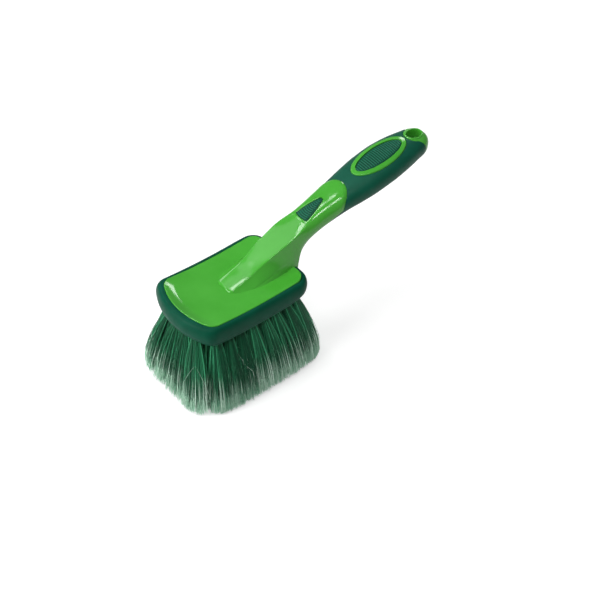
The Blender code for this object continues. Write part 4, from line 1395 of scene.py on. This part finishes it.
def rubber_material(name, code, light_code, sheen, painted_floor_reflection=False, ribs=False):
    """Satin rubber; optionally its lowest strip is rougher and painted greyer as a reflection of the floor,
    and its ribs are painted lighter as a highlight.
    """
    material = bpy.data.materials.new(name)
    add = empty_tree(material)
    place = add("ShaderNodeTexCoord").outputs["Object"]
    tint, rough = patches(add, place, 11, 0.0, 1.0), patches(add, place, 3, 0.40, 0.52)
    base = add("ShaderNodeMix", {0: tint, 6: colour(code), 7: colour(light_code)}, data_type="RGBA")
    # Painted reflection: low on the bumper the colour is mixed towards grey, standing in for the white floor
    # mirrored there; the roughness rises too.
    if painted_floor_reflection:
        height = add("ShaderNodeSeparateXYZ", {0: place}).outputs[2]
        low = add("ShaderNodeMapRange", {
            "Value": height, "From Min": painted_reflection_low, "From Max": painted_reflection_high, "To Min": 1.0, "To Max": 0.0,
        })
        base = add("ShaderNodeMix", {0: low, 6: base, 7: colour("3A6654")}, data_type="RGBA")
        rough = add("ShaderNodeMath", {0: low, 1: band_roughness, 2: rough}, operation="MULTIPLY_ADD")
    # Painted highlight: the ribs are coloured a lighter green, standing in for the light their crests catch.
    if ribs:
        painted_rib_highlight = add("ShaderNodeAttribute", attribute_name="rib").outputs["Fac"]
        base = add("ShaderNodeMix", {0: painted_rib_highlight, 6: base, 7: colour("17654B")}, data_type="RGBA")
    surface(add, {
        "Base Color": base, "Roughness": rough, "IOR": 1.5, "Specular IOR Level": sheen,
        "Normal": relief(add, place, (0.45, 2.0, 0.5, 0.00003)),
    })
    return material


rubber = rubber_material("dark_green_rubber", "014A37", "02523E", sheen=0.18)
# The bumper's rubber is painted greyer low down, as a reflection of the floor.
bumper_rubber = rubber_material("dark_green_bumper_rubber", "00422F", "014A36", sheen=0.08, painted_floor_reflection=True)
# The pads' rubber paints its ribs lighter, as a highlight.
pad_rubber = rubber_material("dark_green_ribbed_rubber", "023E2E", "034634", sheen=0.16, ribs=True)
print("rubber: three materials")

# %% [markdown]
# Each filament is dyed nearly black green, but its last fifth is split into
# hairs so fine that they scatter light and look pale and minty. The node tree
# stored how far along each point is, so the colour can follow the strand, and a
# tone for each strand keeps neighbours apart.

# %% Green filament
tone_power, tone_shift, fade_start, fade_end = 2.2, 0.30, 0.83, 1.05
filament = bpy.data.materials.new("green_filament")
add = empty_tree(filament)
far, tone = (add("ShaderNodeAttribute", attribute_name=name).outputs["Fac"] for name in ("along", "tone"))
contrast = add("ShaderNodeMath", {0: tone, 1: tone_power}, operation="POWER")
dark = add("ShaderNodeMix", {0: contrast, 6: colour("064A2F"), 7: colour("46B07C")}, data_type="RGBA")
mint = add("ShaderNodeMix", {0: tone, 6: colour("4FB181"), 7: colour("E2FFEC")}, data_type="RGBA")
shifted = add("ShaderNodeMath", {0: tone, 1: tone_shift, 2: far}, operation="MULTIPLY_ADD")
fade = add("ShaderNodeMapRange", {"Value": shifted, "From Min": fade_start, "From Max": fade_end})
base = add("ShaderNodeMix", {0: fade, 6: dark, 7: mint}, data_type="RGBA")
surface(add, {"Base Color": base, "Roughness": 0.36, "IOR": 1.5, "Specular IOR Level": 0.25})
print("filament:", len(filament.node_tree.nodes), "nodes")

# %% [markdown]
# ## Placing and naming the pieces
#
# Every piece is shaded smooth with its true edges kept sharp, moved to the
# measured model's place inside its mesh, given its material and hung on the
# root body, and the measured nodes that it stands for are hidden.

# %% Place, finish and hang each piece


def dress(piece, name, material, nodes, sharp=50):
    """Shade, place and paint a finished piece, hang it on the root body and hide the measured nodes it stands
    for.
    """
    piece.name = piece.data.name = name
    if sharp:
        piece.data.shade_smooth()
        piece.data.set_sharp_from_angle(angle=math.radians(sharp))
    piece.data.transform(Matrix.Translation((head_zero, 0, 0)))
    piece.data.materials.clear()
    piece.data.materials.append(material)
    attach(piece, "root")
    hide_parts(*nodes)


dress(moulding, "plastic_moulding", plastic, ["brush_body"])
dress(bumper, "rim_bumper_rubber", bumper_rubber, ["rim_bumper"])
dress(sleeve, "grip_sleeve_rubber", rubber, ["grip_sleeve"])
dress(grip_pad, "grip_pad_rubber", pad_rubber, ["grip_pad"], sharp=None)
dress(thumb_pad, "thumb_pad_rubber", pad_rubber, ["thumb_pad"], sharp=None)
for column, piece in zip(columns, bristle_pieces):
    stands_for = [f"tuft_{column + 2}_{row + 1}" for number, row, x, y in places if number == column]
    dress(piece, f"bristles_column_{column + 2}", filament, stands_for, sharp=None)
shown = [piece.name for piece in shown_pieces()]
print(len(shown), "pieces show:", ", ".join(shown))

# %% [markdown]
# ## Stage, light and camera
#
# A plain white floor is the whole background and carries the soft shadow. The
# world is an even soft light, and eight lamps do the shaping. The key and a low
# lamp stand before the nose and light the filament there. The others are small
# areas, each placed where one face or edge mirrors it to the camera: both edges
# of the spine, its nose, the ridge by the thumb and the head's far corner.

# %% Floor and world
floor_half, floor_fleck_mm, floor_glow, sky_strength = 2.0, 40, 0.50, 0.26
corners = [(-1, -1), (1, -1), (1, 1), (-1, 1)]
corners = [(x * floor_half, y * floor_half, 0.0) for x, y in corners]
floor = plain_object("floor", corners, [(0, 1, 2, 3)])
paper = bpy.data.materials.new("white_paper")
add = empty_tree(paper)
flecks = add("ShaderNodeTexNoise", {
    "Vector": add("ShaderNodeTexCoord").outputs["Object"], "Scale": 1000 / floor_fleck_mm,
    "Detail": patch_detail, "Roughness": noise_roughness,
})
base = add("ShaderNodeMix", {0: flecks, 6: colour("D0D0D0"), 7: colour("D4D4D4")}, data_type="RGBA")
light_path = add("ShaderNodeLightPath").outputs
seen = light_path["Is Camera Ray"]
for ray in ("Is Glossy Ray", "Is Transmission Ray"):
    seen = add("ShaderNodeMath", {0: seen, 1: light_path[ray]}, operation="MAXIMUM")
surface(add, {
    "Base Color": base, "Roughness": 0.9, "Specular IOR Level": 0.0, "Emission Color": (1, 1, 1, 1),
    "Emission Strength": add("ShaderNodeMath", {0: seen, 1: floor_glow}, operation="MULTIPLY"),
})
floor.data.materials.append(paper)
floor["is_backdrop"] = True

world = bpy.data.worlds.new("soft_daylight")
bpy.context.scene.world = world
add = empty_tree(world)
sky = add("ShaderNodeBackground", {"Color": (1, 1, 1, 1), "Strength": sky_strength})
add("ShaderNodeOutputWorld", {"Surface": sky})
bpy.context.scene.view_settings.view_transform = "Standard"
print("floor and world ready")

# %% Lamps


def soft_lamp(name, place, target, width, height, power, turn=0.0):
    """A flat soft lamp, width by height, that faces a point and may be turned about that line."""
    lamp = bpy.data.lights.new(name, "AREA")
    lamp.shape, lamp.size, lamp.size_y, lamp.energy = "RECTANGLE", width, height, power
    obj = add_object(name, lamp)
    obj.location = place
    facing = (Vector(target) - Vector(place)).to_track_quat("-Z", "Y").to_matrix()
    obj.rotation_euler = (facing @ Matrix.Rotation(math.radians(turn), 3, "Z")).to_euler()


centre, nose_top, far_corner = (0.0, 0.0, 0.07), (-0.0775, 0.0, 0.09), (-0.11, 0.02, 0.085)
soft_lamp("key_lamp", (-1.05, 0.07, 0.95), centre, 0.5, 0.5, 5.6)
soft_lamp("low_lamp", (-1.05, 0.30, 0.40), centre, 0.5, 0.4, 5.6)
soft_lamp("near_lamp", (-0.30, -0.43, 1.19), centre, 0.12, 0.6, 4.4, turn=-35)
soft_lamp("glare_lamp", (-0.178, 0.560, 2.010), nose_top, 0.26, 0.44, 5.6)
soft_lamp("haze_lamp", (-0.30, 0.72, 1.16), centre, 0.5, 0.5, 1.4)
soft_lamp("corner_lamp", (0.75, 0.61, 0.865), far_corner, 0.2, 0.2, 1.5)
soft_lamp("edge_lamp", (-0.70, 0.74, 1.00), centre, 0.3, 0.3, 2.0)
soft_lamp("far_lamp", (-0.08, 1.08, 0.72), centre, 0.26, 0.4, 1.6)
print("eight lamps")

# %% [markdown]
# The camera stands where the photograph was taken from. Its lens, distance,
# height and roll came from matching the outline of the measured model to the
# picture, and one point of the brush is held at its place in the frame.

# %% Camera
lens_mm, sensor_mm, frame_pixels = 90.0, 36.0, 600
azimuth, elevation, roll = (math.radians(angle) for angle in (-40.59, 45.15, 1.93))
distance, held_point, held_pixel = 1.2119, Vector((0.0468 + head_zero, 0.0, rim_height)), (234.91, 280.9)

back = Vector((
    math.sin(azimuth) * math.cos(elevation), -math.cos(azimuth) * math.cos(elevation), math.sin(elevation),
))
level = Vector((math.cos(azimuth), math.sin(azimuth), 0))
upward = back.cross(level)
right = math.cos(roll) * level + math.sin(roll) * upward
upward = -math.sin(roll) * level + math.cos(roll) * upward
metres_per_pixel = distance / (lens_mm / sensor_mm * frame_pixels)
aside = (held_pixel[0] - frame_pixels / 2) * metres_per_pixel
above = (frame_pixels / 2 - held_pixel[1]) * metres_per_pixel
eye = held_point - aside * right - above * upward + distance * back

camera_data = bpy.data.cameras.new("camera")
camera_data.lens = lens_mm
camera_data.sensor_width = sensor_mm
camera = add_object("camera", camera_data)
camera.matrix_world = Matrix([*zip(right, upward, back, eye), (0, 0, 0, 1)])
bpy.context.scene.camera = camera
print("camera at", [round(part, 3) for part in eye])

# %% [markdown]
# ## The dressed size
#
# The dressed brush should fill the measured model's box and not grow past it, so
# its length, width and height are printed.

# %% Print the dressed size
bpy.context.view_layer.update()
dressed_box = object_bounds()
sides = [round(float(side), 4) for side in dressed_box[1] - dressed_box[0]]
print("dressed, length, width and height:", sides)
